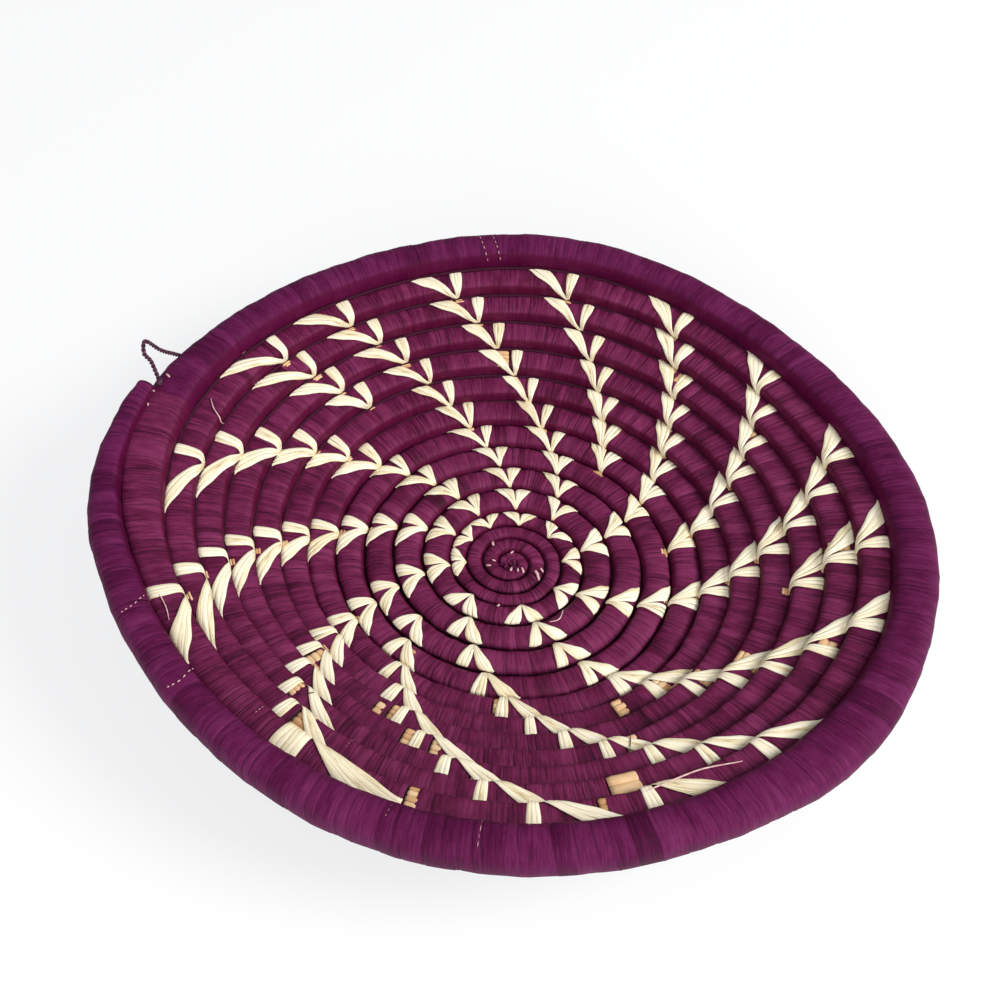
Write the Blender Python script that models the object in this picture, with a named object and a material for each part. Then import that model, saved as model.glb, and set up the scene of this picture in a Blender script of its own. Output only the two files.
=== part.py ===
# Coiled raffia basket bowl: one stalk bundle wound in a flat-bottomed spiral,
# wrapped in purple raffia, with cream raffia stitches that swirl outward.
import math

import bmesh
import bpy
import numpy as np

MM = 0.001

# Coil, in millimetres. The turn number runs from the middle of the base to the rim.
FIRST_TURN = 0.553
LAST_TURN = 15.553
FIRST_RADIUS = 2.3
START_WIDTH = 3.2
START_SWELL_TURNS = 1.0
CENTRE_COIL_WIDTH = 5.4
COIL_WIDTH = 10.1
COIL_SWELL_START = 3.5
COIL_SWELL_TURNS = 1.3
RIM_TURNS = 1.09
RIM_START = LAST_TURN - RIM_TURNS
RIM_START_WIDTH = 13.9
RIM_FULL_WIDTH = 14.4
RIM_SWELL_TURNS = 0.12
RIM_FILL_TURNS = 0.6
TIP_TURNS = 0.08
TIP_START = LAST_TURN - TIP_TURNS
TIP_WIDTH = 8.5
TURN_GAP = 0.5

# Bowl profile, as slope against the distance from the middle along the wall
FLAT_BASE_REACH = 47.0
KNUCKLE_LENGTH = 38.0
WALL_SLOPE = math.radians(33.6)
LIP_SLOPE = math.radians(23.8)
LIP_START = 113.6
LIP_END = 150.0

# How the handmade bowl is out of true
OVAL = 0.028
OVAL_SKEW = -0.036
LEAN_RIGHT = -0.05
LEAN_BACK = 0.06
SADDLE = -0.04
LEAN_LENGTH = 40.0

# Uneven growth of the outer rounds, in millimetres at the rim, as the cosine and sine of one to four
# times the azimuth
UNEVEN = ((0.74, 1.36), (1.11, -0.22), (-0.17, -0.06), (1.07, -1.62))
UNEVEN_START = 80.0
UNEVEN_LENGTH = 60.0

# Wrapping and stalk core
WRAP_THICKNESS = 1.2
CORE_CLEARANCE = 0.35
WRAP_END_GAP = 0.45
POINTS_PER_TURN = 24
CENTRE_POINTS_PER_TURN = 12
CENTRE_TURNS_END = 3.57
BASE_CUT_REACH = 62.0
BASE_CUT_SHARE = 0.1
LEAST_FOOT_SHARE = 0.04
BASE_REST_TURN = 6.07

# Coil section as shares of the half width, from the top round to the inner side
SECTION = ((0.0, 1.12), (0.91, 0.56), (0.985, -0.50), (0.0, -1.06), (-0.985, -0.50), (-0.91, 0.56))
SIDE_SHARE = 0.92

# Cream stitches
STITCH_THICKNESS = 0.7
STITCH_CLEARANCE = 0.45
STITCH_EDGE = 0.88
STITCH_FIRST_WIDTH = 3.0
STITCH_WIDTH_PER_ROW = 0.22
STITCH_MAX_WIDTH = 5.0
LONG_LEG_REACH = 7.0
LONG_LEG_PER_ROW = 1.15
LONG_LEG_CREST = 0.45
SHORT_LEG_CREST = 0.30
SHORT_LEG_END = 0.15
V_CROTCH = -0.6
FIRST_ROW_TURN = 3.5
RIM_STITCH_LAP = 0.1
LAST_ROW = math.floor(RIM_START + RIM_STITCH_LAP - FIRST_ROW_TURN) - 1
DRIFT_STEADY = 3.8
DRIFT_EXTRA = 4.2
DRIFT_ROWS = 2.6

# Stitch arms: first row, last row, azimuth of the first and of the last V in degrees
ARMS = (
    (0, LAST_ROW + 1, 145.2, 197.3, -3.4),
    (0, LAST_ROW, 115.3, 168.4, -7.0),
    (LAST_ROW - 3, LAST_ROW, 130.1, 139.9, 0.5),
    (0, LAST_ROW, 77.2, 124.3, -1.0),
    (0, LAST_ROW, 35.3, 100.7, 4.3),
    (LAST_ROW - 6, LAST_ROW, 48.5, 76.6, 0.0),
    (0, LAST_ROW, -2.1, 51.7, 2.0),
    (LAST_ROW - 6, LAST_ROW, 2.1, 30.4, -0.7),
    (0, LAST_ROW, -38.6, 9.6, -5.0),
    (LAST_ROW - 2, LAST_ROW, -15.0, -8.6, 1.2),
    (0, LAST_ROW, -79.3, -23.7, -3.9),
    (LAST_ROW, LAST_ROW, -69.0, -69.0, 0.0),
    (0, LAST_ROW, -131.8, -50.2, -0.6),
    (2, LAST_ROW, -143.0, -86.8, -5.0),
    (-1, LAST_ROW, -180.0, -129.2, -4.2),
)

# Hanging loop
LOOP_CORD_RADIUS = 0.8
LOOP_TURNS_FROM_TIP = 0.995
LOOP_SPACING_TURNS = 0.023
KNOT_TURNS = (LAST_TURN - LOOP_TURNS_FROM_TIP, LAST_TURN - LOOP_TURNS_FROM_TIP + LOOP_SPACING_TURNS)
LOOP_BENDS = ((-0.3, 5.5), (-0.8, 9.3), (-2.7, 13.2), (0.4, 16.5), (7.0, 9.9), (14.0, 5.0))
LOOP_LEAN = math.radians(68.0)
LOOP_STEPS = 3
KNOT_RADIUS = 2.2
KNOT_GAP = 0.3
KNOT_CORNERS = (1, 2)
KNOT_BEARINGS = (math.radians(-20.0), math.radians(-70.0))

PURPLE = (0.17, 0.018, 0.10, 1.0)
RIM_PURPLE = (0.22, 0.025, 0.13, 1.0)
CREAM = (0.88, 0.80, 0.60, 1.0)
TAN = (0.60, 0.38, 0.17, 1.0)
CORD_PURPLE = (0.07, 0.01, 0.04, 1.0)


def smooth(share):
    share = np.clip(share, 0.0, 1.0)
    return share * share * (3.0 - 2.0 * share)


def coil_width(turn):
    width = START_WIDTH + (CENTRE_COIL_WIDTH - START_WIDTH) * smooth((turn - FIRST_TURN) / START_SWELL_TURNS)
    width = width + (COIL_WIDTH - CENTRE_COIL_WIDTH) * smooth((turn - COIL_SWELL_START) / COIL_SWELL_TURNS)
    width = width + (RIM_START_WIDTH - COIL_WIDTH) * smooth((turn - RIM_START) / RIM_SWELL_TURNS)
    rim_fill_start = RIM_START + RIM_SWELL_TURNS
    width = width + (RIM_FULL_WIDTH - RIM_START_WIDTH) * smooth((turn - rim_fill_start) / RIM_FILL_TURNS)
    tip = smooth((turn - TIP_START) / (LAST_TURN - TIP_START))
    return width + (TIP_WIDTH - width) * tip


# Each turn lies one coil width and a gap outside the turn before it.
TURN_STEPS = 200
TURN_TABLE = np.arange(FIRST_TURN - 1.0, LAST_TURN + 1.0, 1.0 / TURN_STEPS)


def build_reach_table():
    widths = coil_width(TURN_TABLE)
    reach = FIRST_RADIUS + (START_WIDTH + TURN_GAP) * (TURN_TABLE - FIRST_TURN)
    for index in range(TURN_STEPS, len(TURN_TABLE)):
        before = index - TURN_STEPS
        reach[index] = reach[before] + (widths[index] + widths[before]) / 2 + TURN_GAP
    return reach


REACH_TABLE = build_reach_table()


def wall_slope(distance, azimuth):
    rise = WALL_SLOPE * smooth((distance - FLAT_BASE_REACH) / KNUCKLE_LENGTH)
    ease = (WALL_SLOPE - LIP_SLOPE) * smooth((distance - LIP_START) / (LIP_END - LIP_START))
    lean = LEAN_RIGHT * math.cos(azimuth) + LEAN_BACK * math.sin(azimuth) + SADDLE * math.cos(2 * azimuth)
    return rise - ease + lean * smooth((distance - FLAT_BASE_REACH) / LEAN_LENGTH)


def local_stretch(distance, azimuth):
    """How much further apart than true the rounds lie at this distance and azimuth."""
    share = np.clip((distance - UNEVEN_START) / UNEVEN_LENGTH, 0.0, 1.0)
    growth = 6.0 * share * (1.0 - share) / UNEVEN_LENGTH
    uneven = 0.0
    for times, (cosine, sine) in enumerate(UNEVEN, start=1):
        uneven += cosine * math.cos(times * azimuth) + sine * math.sin(times * azimuth)
    return 1.0 + OVAL * math.cos(2 * azimuth) + OVAL_SKEW * math.sin(2 * azimuth) + uneven * growth


SLOPE_STEPS = 60
BASE_HALF = COIL_WIDTH / 2
CENTRE_HEIGHT = -SECTION[3][1] * BASE_HALF - BASE_CUT_SHARE * COIL_WIDTH


def coil_frame(turn, azimuth):
    """Centre of the coil and its outward and upward directions, in the upright plane at the azimuth."""
    reach = float(np.interp(turn, TURN_TABLE, REACH_TABLE))
    distances = np.linspace(0.0, reach, SLOPE_STEPS + 1)
    slopes = wall_slope(distances, azimuth)
    stretches = local_stretch(distances, azimuth)
    runs = np.cos(slopes) * stretches
    rises = np.sin(slopes) * stretches
    step = reach / SLOPE_STEPS
    radius = float(np.sum(runs[1:] + runs[:-1]) / 2 * step)
    height = float(np.sum(rises[1:] + rises[:-1]) / 2 * step) + CENTRE_HEIGHT
    end_slope = float(slopes[-1])
    stretch = float(stretches[-1])
    radial = np.array((math.cos(azimuth), math.sin(azimuth), 0.0))
    upright = np.array((0.0, 0.0, 1.0))
    centre = radial * radius + upright * height
    outward = radial * math.cos(end_slope) + upright * math.sin(end_slope)
    upward = -radial * math.sin(end_slope) + upright * math.cos(end_slope)
    return centre, outward, upward, stretch


def turn_azimuth(turn):
    return math.radians(180.0 - 360.0 * (turn - 0.5))


def row_turn(row, azimuth_degrees):
    return FIRST_ROW_TURN + row + (180.0 - azimuth_degrees) / 360.0


def station_turns():
    """Turn numbers of the sections: the same azimuths on every turn, so neighbouring turns stay parallel."""
    turns = []
    fine = 1.0 / POINTS_PER_TURN
    coarse = 1.0 / CENTRE_POINTS_PER_TURN
    turn = LAST_TURN
    while turn > FIRST_TURN - 1e-6:
        turns.append(turn)
        turn -= fine if turn > CENTRE_TURNS_END + 1e-6 else coarse
    return turns[::-1]


STATIONS = station_turns()


def wrap_inset(turn):
    """Thickness of the wrapping, which is thinner on the thin coil at the centre."""
    return WRAP_THICKNESS * min(1.0, float(coil_width(turn)) / COIL_WIDTH)


def core_inset(turn):
    return wrap_inset(turn) + CORE_CLEARANCE * min(1.0, float(coil_width(turn)) / CENTRE_COIL_WIDTH)


def lateral_points(width, inset, flat_base):
    """Section corners for a coil of this width, drawn in by the inset, with the foot cut flat if asked."""
    half = width / 2
    share = 1.0 - inset / (SIDE_SHARE * half)
    corners = [(x * half * share, y * half * share) for x, y in SECTION]
    if not flat_base:
        return corners
    foot = max(-CENTRE_HEIGHT, corners[3][1] + LEAST_FOOT_SHARE * half)
    side = corners[2]
    run = side[0] * (foot - corners[3][1]) / (side[1] - corners[3][1])
    return corners[:3] + [(run, foot), (-run, foot)] + corners[4:]


def section_ring(turn, inset, flat_base=False):
    centre, outward, upward, stretch = coil_frame(turn, turn_azimuth(turn))
    corners = lateral_points(float(coil_width(turn)), inset, flat_base)
    return [centre + outward * x * stretch + upward * y for x, y in corners]


def stations_between(start, end):
    inner = [turn for turn in STATIONS if start + 1e-3 < turn < end - 1e-3]
    return [start] + inner + [end]


def polyline_section(turn, corner_x, corner_y):
    """A point of the section carried straight between the two stations on either side."""
    index = int(np.searchsorted(STATIONS, turn)) - 1
    index = min(max(index, 0), len(STATIONS) - 2)
    low = STATIONS[index]
    high = STATIONS[index + 1]
    share = (turn - low) / (high - low)
    points = []
    for station in (low, high):
        centre, outward, upward, stretch = coil_frame(station, turn_azimuth(station))
        points.append(centre + outward * corner_x * stretch + upward * corner_y)
    return points[0] * (1.0 - share) + points[1] * share


def cut_ring(turn, inset, flat_base=False):
    """Section ring of a wrap end that falls between two stations."""
    corners = lateral_points(float(coil_width(turn)), inset, flat_base)
    return [polyline_section(turn, x, y) for x, y in corners]


def make_object(name, points, faces, colour, roughness, collection):
    mesh = bpy.data.meshes.new(name)
    mesh.from_pydata([tuple(float(value) * MM for value in point) for point in points], [], faces)
    mesh.update()
    shape = bmesh.new()
    shape.from_mesh(mesh)
    bmesh.ops.triangulate(shape, faces=shape.faces)
    bmesh.ops.recalc_face_normals(shape, faces=shape.faces)
    shape.to_mesh(mesh)
    shape.free()
    obj = bpy.data.objects.new(name, mesh)
    collection.objects.link(obj)
    material = bpy.data.materials.new(name + "_material")
    material.use_nodes = True
    shader = material.node_tree.nodes["Principled BSDF"]
    shader.inputs["Base Color"].default_value = colour
    shader.inputs["Roughness"].default_value = roughness
    obj.data.materials.append(material)
    return obj


def skin(rings, first):
    """Side faces of a tube through rings of equal size, whose points start at index first."""
    size = len(rings[0])
    faces = []
    for ring in range(len(rings) - 1):
        for corner in range(size):
            after = (corner + 1) % size
            low = first + ring * size
            high = low + size
            faces.append((low + corner, low + after, high + after, high + corner))
    return faces


def solid_tube(name, rings, colour, roughness, collection):
    points = [point for ring in rings for point in ring]
    size = len(rings[0])
    faces = skin(rings, 0)
    faces.append(tuple(range(size)))
    last = (len(rings) - 1) * size
    faces.append(tuple(last + corner for corner in range(size))[::-1])
    return make_object(name, points, faces, colour, roughness, collection)


def sheath(name, outer, bore, colour, roughness, collection):
    """An open-ended sleeve: outer rings, bore rings, and a flat annulus at each end."""
    points = [point for ring in outer for point in ring]
    bore_first = len(points)
    points += [point for ring in bore for point in ring]
    faces = skin(outer, 0) + skin(bore, bore_first)
    outer_size = len(outer[0])
    bore_size = len(bore[0])
    for end in (0, len(outer) - 1):
        out = [end * outer_size + corner for corner in range(outer_size)]
        inn = [bore_first + end * bore_size + corner for corner in range(bore_size)]
        if outer_size == bore_size:
            for corner in range(outer_size):
                after = (corner + 1) % outer_size
                faces.append((out[corner], out[after], inn[after], inn[corner]))
        else:
            pairs = ((0, 0), (1, 1), (2, 2), (3, 3), (4, 3), (5, 4), (6, 5), (0, 0))
            for start in range(len(pairs) - 1):
                a_out, a_in = pairs[start]
                b_out, b_in = pairs[start + 1]
                if a_in == b_in:
                    faces.append((out[a_out], out[b_out], inn[a_in]))
                else:
                    faces.append((out[a_out], out[b_out], inn[b_in], inn[a_in]))
    return make_object(name, points, faces, colour, roughness, collection)


def build_wraps(collection):
    """One sleeve of wrapping for each round, and the last one on the rim."""
    ends = [FIRST_TURN]
    turn = LAST_TURN - math.floor(LAST_TURN - FIRST_TURN + 1e-6) + 1
    while turn < LAST_TURN - 1e-6:
        ends.append(turn)
        turn += 1.0
    ends.append(LAST_TURN)
    count = len(ends) - 1
    for index in range(count):
        start = ends[index]
        end = ends[index + 1]
        reach = float(np.interp(start, TURN_TABLE, REACH_TABLE))
        if index > 0:
            start += WRAP_END_GAP / (2 * math.pi * reach)
        flat_base = reach < BASE_CUT_REACH
        turns = stations_between(start, end)
        outer = [cut_ring(turn, 0.0, flat_base) for turn in turns]
        bore = [cut_ring(turn, wrap_inset(turn)) for turn in turns]
        if index == count - 1:
            sheath("rim_wrap", outer, bore, RIM_PURPLE, 0.5, collection)
        else:
            sheath("wrap_round_%02d" % (index + 1), outer, bore, PURPLE, 0.6, collection)


def build_core(collection):
    rings = [section_ring(turn, core_inset(turn)) for turn in STATIONS]
    solid_tube("stalk_core", rings, TAN, 0.8, collection)


def drift(row):
    """Degrees that an arm has swung by this row, less at each step outward."""
    return DRIFT_STEADY * row - DRIFT_EXTRA * DRIFT_ROWS * math.exp(-row / DRIFT_ROWS)


def arm_azimuth(arm, row):
    first, last, start, end, bow = arm
    if first == last:
        return start
    share = (drift(row) - drift(first)) / (drift(last) - drift(first))
    return start + (end - start) * share + 4.0 * bow * share * (1.0 - share)


def stitch_point(row, azimuth_degrees, along, side, lift):
    """A point over the coil: along it in millimetres, side from -1 to 1 across it, lift above the wrap."""
    turn = row_turn(row, azimuth_degrees)
    reach = float(np.interp(turn, TURN_TABLE, REACH_TABLE))
    turn -= along / (2 * math.pi * reach)
    half = float(coil_width(turn)) / 2
    fall = (SECTION[0][1] - SECTION[1][1]) / SECTION[1][0]
    clearance = STITCH_CLEARANCE * math.hypot(1.0, fall)
    corner_x = side * STITCH_EDGE * half
    corner_y = half * (SECTION[0][1] - fall * STITCH_EDGE * abs(side)) + clearance + lift
    return polyline_section(turn, corner_x, corner_y)


def v_outline(row):
    """Corners of one V: along the coil in millimetres, side of the coil."""
    width = min(STITCH_MAX_WIDTH, STITCH_FIRST_WIDTH + STITCH_WIDTH_PER_ROW * max(row, 0))
    half = width / 2
    reach = LONG_LEG_REACH + LONG_LEG_PER_ROW * max(row, 0)
    crest = reach * LONG_LEG_CREST
    short_crest = -SHORT_LEG_CREST * half
    short_end = -SHORT_LEG_END * half
    return (
        (half, -1.0), (0.0, V_CROTCH), (-half, -1.0),
        (crest + half, 0.0), (crest - half, 0.0), (short_crest + half, 0.0), (short_crest - half, 0.0),
        (reach + half, 1.0), (reach - half, 1.0), (short_end + half, 1.0), (short_end - half, 1.0),
    )


V_CORNERS = 11
V_FLATS = ((0, 2, 1), (0, 1, 4, 3), (1, 2, 6, 5), (3, 4, 8, 7), (5, 6, 10, 9))


def build_arm(number, arm, collection):
    """A chain of V stitches: each V's outer corners are tied through the groove to the next V."""
    first, last, _, _, _ = arm
    outlines = []
    flats = []
    for row in range(first, last + 1):
        base = len(outlines)
        azimuth = arm_azimuth(arm, row)
        outlines += [(row, azimuth, along, side) for along, side in v_outline(row)]
        flats += [tuple(base + corner for corner in flat) for flat in V_FLATS]
        if row < last:
            after = base + V_CORNERS
            flats.append((base + 7, base + 8, after))
            flats.append((base + 8, base + 9, after + 2, after))
            flats.append((base + 9, base + 10, after + 2))
    count = len(outlines)
    points = [stitch_point(row, azimuth, along, side, 0.0) for row, azimuth, along, side in outlines]
    points += [stitch_point(row, azimuth, along, side, STITCH_THICKNESS) for row, azimuth, along, side in outlines]
    edges = {}
    for flat in flats:
        for corner in range(len(flat)):
            pair = (flat[corner], flat[(corner + 1) % len(flat)])
            edges[pair] = edges.get(pair, 0) + 1
    faces = [tuple(count + corner for corner in flat) for flat in flats]
    faces += [flat[::-1] for flat in flats]
    for low, high in edges:
        if (high, low) not in edges:
            faces.append((low, high, count + high, count + low))
    make_object("stitch_arm_%02d" % number, points, faces, CREAM, 0.55, collection)


def tube_along(name, path, radius, sides, colour, collection):
    """A round cord along a list of points, with its section kept square to the path."""
    path = [np.array(point) for point in path]
    rings = []
    normal = np.array((0.0, 0.0, 1.0))
    for index, point in enumerate(path):
        before = path[max(index - 1, 0)]
        after = path[min(index + 1, len(path) - 1)]
        tangent = after - before
        tangent = tangent / np.linalg.norm(tangent)
        if index == 0 and abs(float(tangent @ normal)) > 0.9:
            normal = np.array((1.0, 0.0, 0.0))
        normal = normal - tangent * float(normal @ tangent)
        normal = normal / np.linalg.norm(normal)
        binormal = np.cross(tangent, normal)
        ring = []
        for side in range(sides):
            angle = 2 * math.pi * side / sides
            ring.append(point + (normal * math.cos(angle) + binormal * math.sin(angle)) * radius)
        rings.append(ring)
    return solid_tube(name, rings, colour, 0.7, collection)


def smooth_path(bends, steps):
    """Points on a smooth curve through the bends, with this many steps from each to the next."""
    points = []
    for index in range(len(bends) - 1):
        start = bends[index]
        end = bends[index + 1]
        before = bends[max(index - 1, 0)]
        after = bends[min(index + 2, len(bends) - 1)]
        for step in range(steps):
            share = step / steps
            lean_out = (end - before) / 2 * share * (1.0 - share) ** 2
            lean_in = (after - start) / 2 * share ** 2 * (share - 1.0)
            along = start * (1.0 - share) ** 2 * (1.0 + 2.0 * share)
            points.append(along + end * share ** 2 * (3.0 - 2.0 * share) + lean_out + lean_in)
    return points + [bends[-1]]


def knot_centre(end):
    """Seat of a knot against the rim coil: the first on its outer side, the second tucked below it."""
    turn = KNOT_TURNS[end]
    half = float(coil_width(turn)) / 2
    corner_x, corner_y = SECTION[KNOT_CORNERS[end]]
    off = KNOT_GAP + KNOT_RADIUS
    bearing = KNOT_BEARINGS[end]
    return polyline_section(turn, half * corner_x + off * math.cos(bearing), half * corner_y + off * math.sin(bearing))


def build_knot(name, centre, collection):
    shape = bmesh.new()
    bmesh.ops.create_icosphere(shape, subdivisions=2, radius=KNOT_RADIUS)
    points = [centre + np.array(vertex.co) for vertex in shape.verts]
    faces = [tuple(vertex.index for vertex in face.verts) for face in shape.faces]
    shape.free()
    return make_object(name, points, faces, CORD_PURPLE, 0.7, collection)


def build_loop(collection):
    """The cord loop that the bowl hangs by, its two ends tied in small knots on the outside of the rim."""
    left = knot_centre(0)
    right = knot_centre(1)
    build_knot("loop_knot_left", left, collection)
    build_knot("loop_knot_right", right, collection)
    across = right - left
    span = float(np.linalg.norm(across))
    across = across / span
    middle_azimuth = turn_azimuth(sum(KNOT_TURNS) / 2)
    radial = np.array((math.cos(middle_azimuth), math.sin(middle_azimuth), 0.0))
    radial = radial - across * float(radial @ across)
    radial = radial / np.linalg.norm(radial)
    upright = np.cross(radial, across)
    if upright[2] < 0:
        upright = -upright
    rise = radial * math.cos(LOOP_LEAN) + upright * math.sin(LOOP_LEAN)
    start_clear = KNOT_RADIUS + KNOT_GAP
    bends = [np.array(bend) for bend in LOOP_BENDS]
    right_knot = np.array((span, 0.0))
    away = bends[-1] - right_knot
    leave = bends[0] * start_clear / np.linalg.norm(bends[0])
    arrive = right_knot + away * start_clear / np.linalg.norm(away)
    flat_path = smooth_path([leave] + bends + [arrive], LOOP_STEPS)
    path = [left + across * along + rise * tall for along, tall in flat_path]
    return tube_along("hanging_loop", path, LOOP_CORD_RADIUS, 8, CORD_PURPLE, collection)


def centre_on_floor(collection):
    """Shifts everything so that the box of the whole bowl is centred over the origin."""
    points = np.array([vertex.co for obj in collection.objects for vertex in obj.data.vertices])
    low = points.min(axis=0)
    high = points.max(axis=0)
    shift = np.array((-(low[0] + high[0]) / 2, -(low[1] + high[1]) / 2, 0.0))
    for obj in collection.objects:
        for vertex in obj.data.vertices:
            vertex.co = tuple(np.array(vertex.co) + shift)
    return shift


def least_turn_gap():
    """Least distance between neighbouring turns of the wound coil, on its section corners."""
    least = (1e9, 0.0)
    rings = {turn: np.array(section_ring(turn, 0.0)) for turn in STATIONS}
    for turn in STATIONS:
        inner = [other for other in STATIONS if abs(other - (turn - 1.0)) < 1e-3]
        for other in inner:
            outer_ring = rings[turn]
            inner_ring = rings[other]
            for point in outer_ring:
                for corner in range(len(inner_ring)):
                    start = inner_ring[corner]
                    side = inner_ring[(corner + 1) % len(inner_ring)] - start
                    share = np.clip(float((point - start) @ side) / float(side @ side), 0.0, 1.0)
                    least = min(least, (float(np.linalg.norm(point - start - side * share)), turn))
    return least


def main():
    for obj in list(bpy.data.objects):
        bpy.data.objects.remove(obj, do_unlink=True)
    collection = bpy.data.collections.new("raffia_basket_bowl")
    bpy.context.scene.collection.children.link(collection)
    build_core(collection)
    build_wraps(collection)
    for number, arm in enumerate(ARMS):
        build_arm(number + 1, arm, collection)
    build_loop(collection)
    shift = centre_on_floor(collection)
    print("axis of the coil at %.3f %.3f mm" % (shift[0] / MM, shift[1] / MM))
    print("least gap between turns %.3f mm, at turn %.2f" % least_turn_gap())
    rest = coil_frame(BASE_REST_TURN, turn_azimuth(BASE_REST_TURN))[0] + shift / MM
    print("base rest at %.2f %.2f mm" % (rest[0], rest[1]))
    for end in (0, 1):
        knot = knot_centre(end) + shift / MM
        print("loop knot at %.2f %.2f %.2f mm" % tuple(knot))


main()
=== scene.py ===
import math

import bpy
import numpy as np
from mathutils import Matrix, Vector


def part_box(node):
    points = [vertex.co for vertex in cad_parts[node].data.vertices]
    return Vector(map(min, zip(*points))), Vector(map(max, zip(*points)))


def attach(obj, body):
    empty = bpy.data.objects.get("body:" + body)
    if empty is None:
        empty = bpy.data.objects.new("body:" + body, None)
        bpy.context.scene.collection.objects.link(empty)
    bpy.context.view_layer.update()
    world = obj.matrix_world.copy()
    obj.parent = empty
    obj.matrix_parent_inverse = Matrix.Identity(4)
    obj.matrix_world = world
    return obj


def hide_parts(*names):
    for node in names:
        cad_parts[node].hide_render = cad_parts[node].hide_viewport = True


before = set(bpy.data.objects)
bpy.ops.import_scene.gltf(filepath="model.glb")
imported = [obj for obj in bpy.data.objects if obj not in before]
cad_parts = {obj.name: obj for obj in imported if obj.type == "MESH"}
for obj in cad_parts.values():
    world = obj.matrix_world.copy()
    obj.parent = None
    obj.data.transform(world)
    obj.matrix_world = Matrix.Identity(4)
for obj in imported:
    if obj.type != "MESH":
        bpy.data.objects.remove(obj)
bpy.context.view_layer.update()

MM = 0.001
RNG = np.random.default_rng(11)

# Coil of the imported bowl, in millimetres, repeated from its construction
AXIS_X = -0.544
AXIS_Y = 3.534
FIRST_TURN = 0.553
LAST_TURN = 15.553
FIRST_RADIUS = 2.3
START_WIDTH = 3.2
START_SWELL_TURNS = 1.0
CENTRE_COIL_WIDTH = 5.4
COIL_WIDTH = 10.1
COIL_SWELL_START = 3.5
COIL_SWELL_TURNS = 1.3
RIM_START = 14.463
RIM_START_WIDTH = 13.9
RIM_FULL_WIDTH = 14.4
RIM_SWELL_TURNS = 0.12
RIM_FILL_TURNS = 0.6
TIP_START = 15.473
TIP_WIDTH = 8.5
TURN_GAP = 0.5
FLAT_BASE_REACH = 47.0
KNUCKLE_LENGTH = 38.0
WALL_SLOPE = math.radians(33.6)
LIP_SLOPE = math.radians(23.8)
LIP_START = 113.6
LIP_END = 150.0
OVAL = 0.028
OVAL_SKEW = -0.036
LEAN_RIGHT = -0.05
LEAN_BACK = 0.06
SADDLE = -0.04
LEAN_LENGTH = 40.0
UNEVEN = ((0.74, 1.36), (1.11, -0.22), (-0.17, -0.06), (1.07, -1.62))
UNEVEN_START = 80.0
UNEVEN_LENGTH = 60.0
CENTRE_HEIGHT = 4.343
FLAT_FOOT_TURNS = 8.57
FIRST_ROW_TURN = 3.5
DRIFT_STEADY = 3.8
DRIFT_EXTRA = 4.2
DRIFT_ROWS = 2.6

# Section of the coil on the base, the wall and the rim: squarest on the wall, where it stays nearly level
SECTION_POWERS = (2.7, 5.5, 2.9)
SECTION_FITS = (1.0, 1.12, 1.09)
SQUARE_SLOPE = 0.55
SECTION_HALF_HEIGHT = 0.97
SECTION_CROWN = 0.05
SECTION_SAMPLES = 720
SECTION_LEVEL_SHARE = 0.85

# Where the last turn bulges outward: azimuth, reach either way in degrees, and how far
RIM_SWELLS = ((-42.0, 22.0, 2.6), (170.0, 26.0, 2.2))

# The rim's tip: how far before the end it is cut, and how much narrower it is there
TIP_END_TURNS = 0.011
TIP_END_CUT = 0.38

# By turn: how far the coil is pushed out beside the tip, and how far it is pulled in under the hanging loop
GROOVE_SHIFTS = (
    (14.32, 0.0), (14.38, 1.9), (14.46, 1.9), (14.50, 3.8), (14.535, 3.6), (14.56, 2.6), (14.60, 0.0),
)
LOOP_ROOMS = ((14.535, 0.0), (14.552, 5.0), (14.595, 4.8), (14.64, 0.0))
LOOP_ROOM_TOP = 0.5

# Stitch arms: first and last row, azimuth of the first and of the last V, and how far the arm bows between
ARMS = (
    (0, 11, 145.2, 197.3, -3.4),
    (0, 10, 115.3, 168.4, -7.0),
    (7, 10, 130.1, 139.9, 0.5),
    (0, 10, 77.2, 124.3, -1.0),
    (0, 10, 35.3, 100.7, 4.3),
    (4, 10, 48.5, 76.6, 0.0),
    (0, 10, -2.1, 51.7, 2.0),
    (4, 10, 2.1, 30.4, -0.7),
    (0, 10, -38.6, 9.6, -5.0),
    (8, 10, -15.0, -8.6, 1.2),
    (0, 10, -79.3, -23.7, -3.9),
    (10, 10, -69.0, -69.0, 0.0),
    (0, 10, -131.8, -50.2, -0.6),
    (2, 10, -143.0, -86.8, -5.0),
    (-1, 10, -180.0, -129.2, -4.2),
)

# The last row that goes all the way round
LAST_ROW = 10


def smooth(share):
    share = np.clip(share, 0.0, 1.0)
    return share * share * (3.0 - 2.0 * share)


def unit(vectors):
    return vectors / np.linalg.norm(vectors, axis=1, keepdims=True)


def walked(points):
    """Distance along a path up to each of its points."""
    steps = np.linalg.norm(np.diff(points, axis=0), axis=1)
    return np.concatenate(((0.0,), np.cumsum(steps)))


def together(*parts):
    """The parts side by side in the last axis, each spread to the size of the largest."""
    return np.stack(np.broadcast_arrays(*parts), axis=-1)


def azimuth_at(turn):
    return math.pi - 2 * math.pi * (np.asarray(turn, float) - 0.5)


def tip_share(turn):
    """How far along the rim's tapering tip a turn number is."""
    return smooth((turn - TIP_START) / (LAST_TURN - TIP_START))


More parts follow.
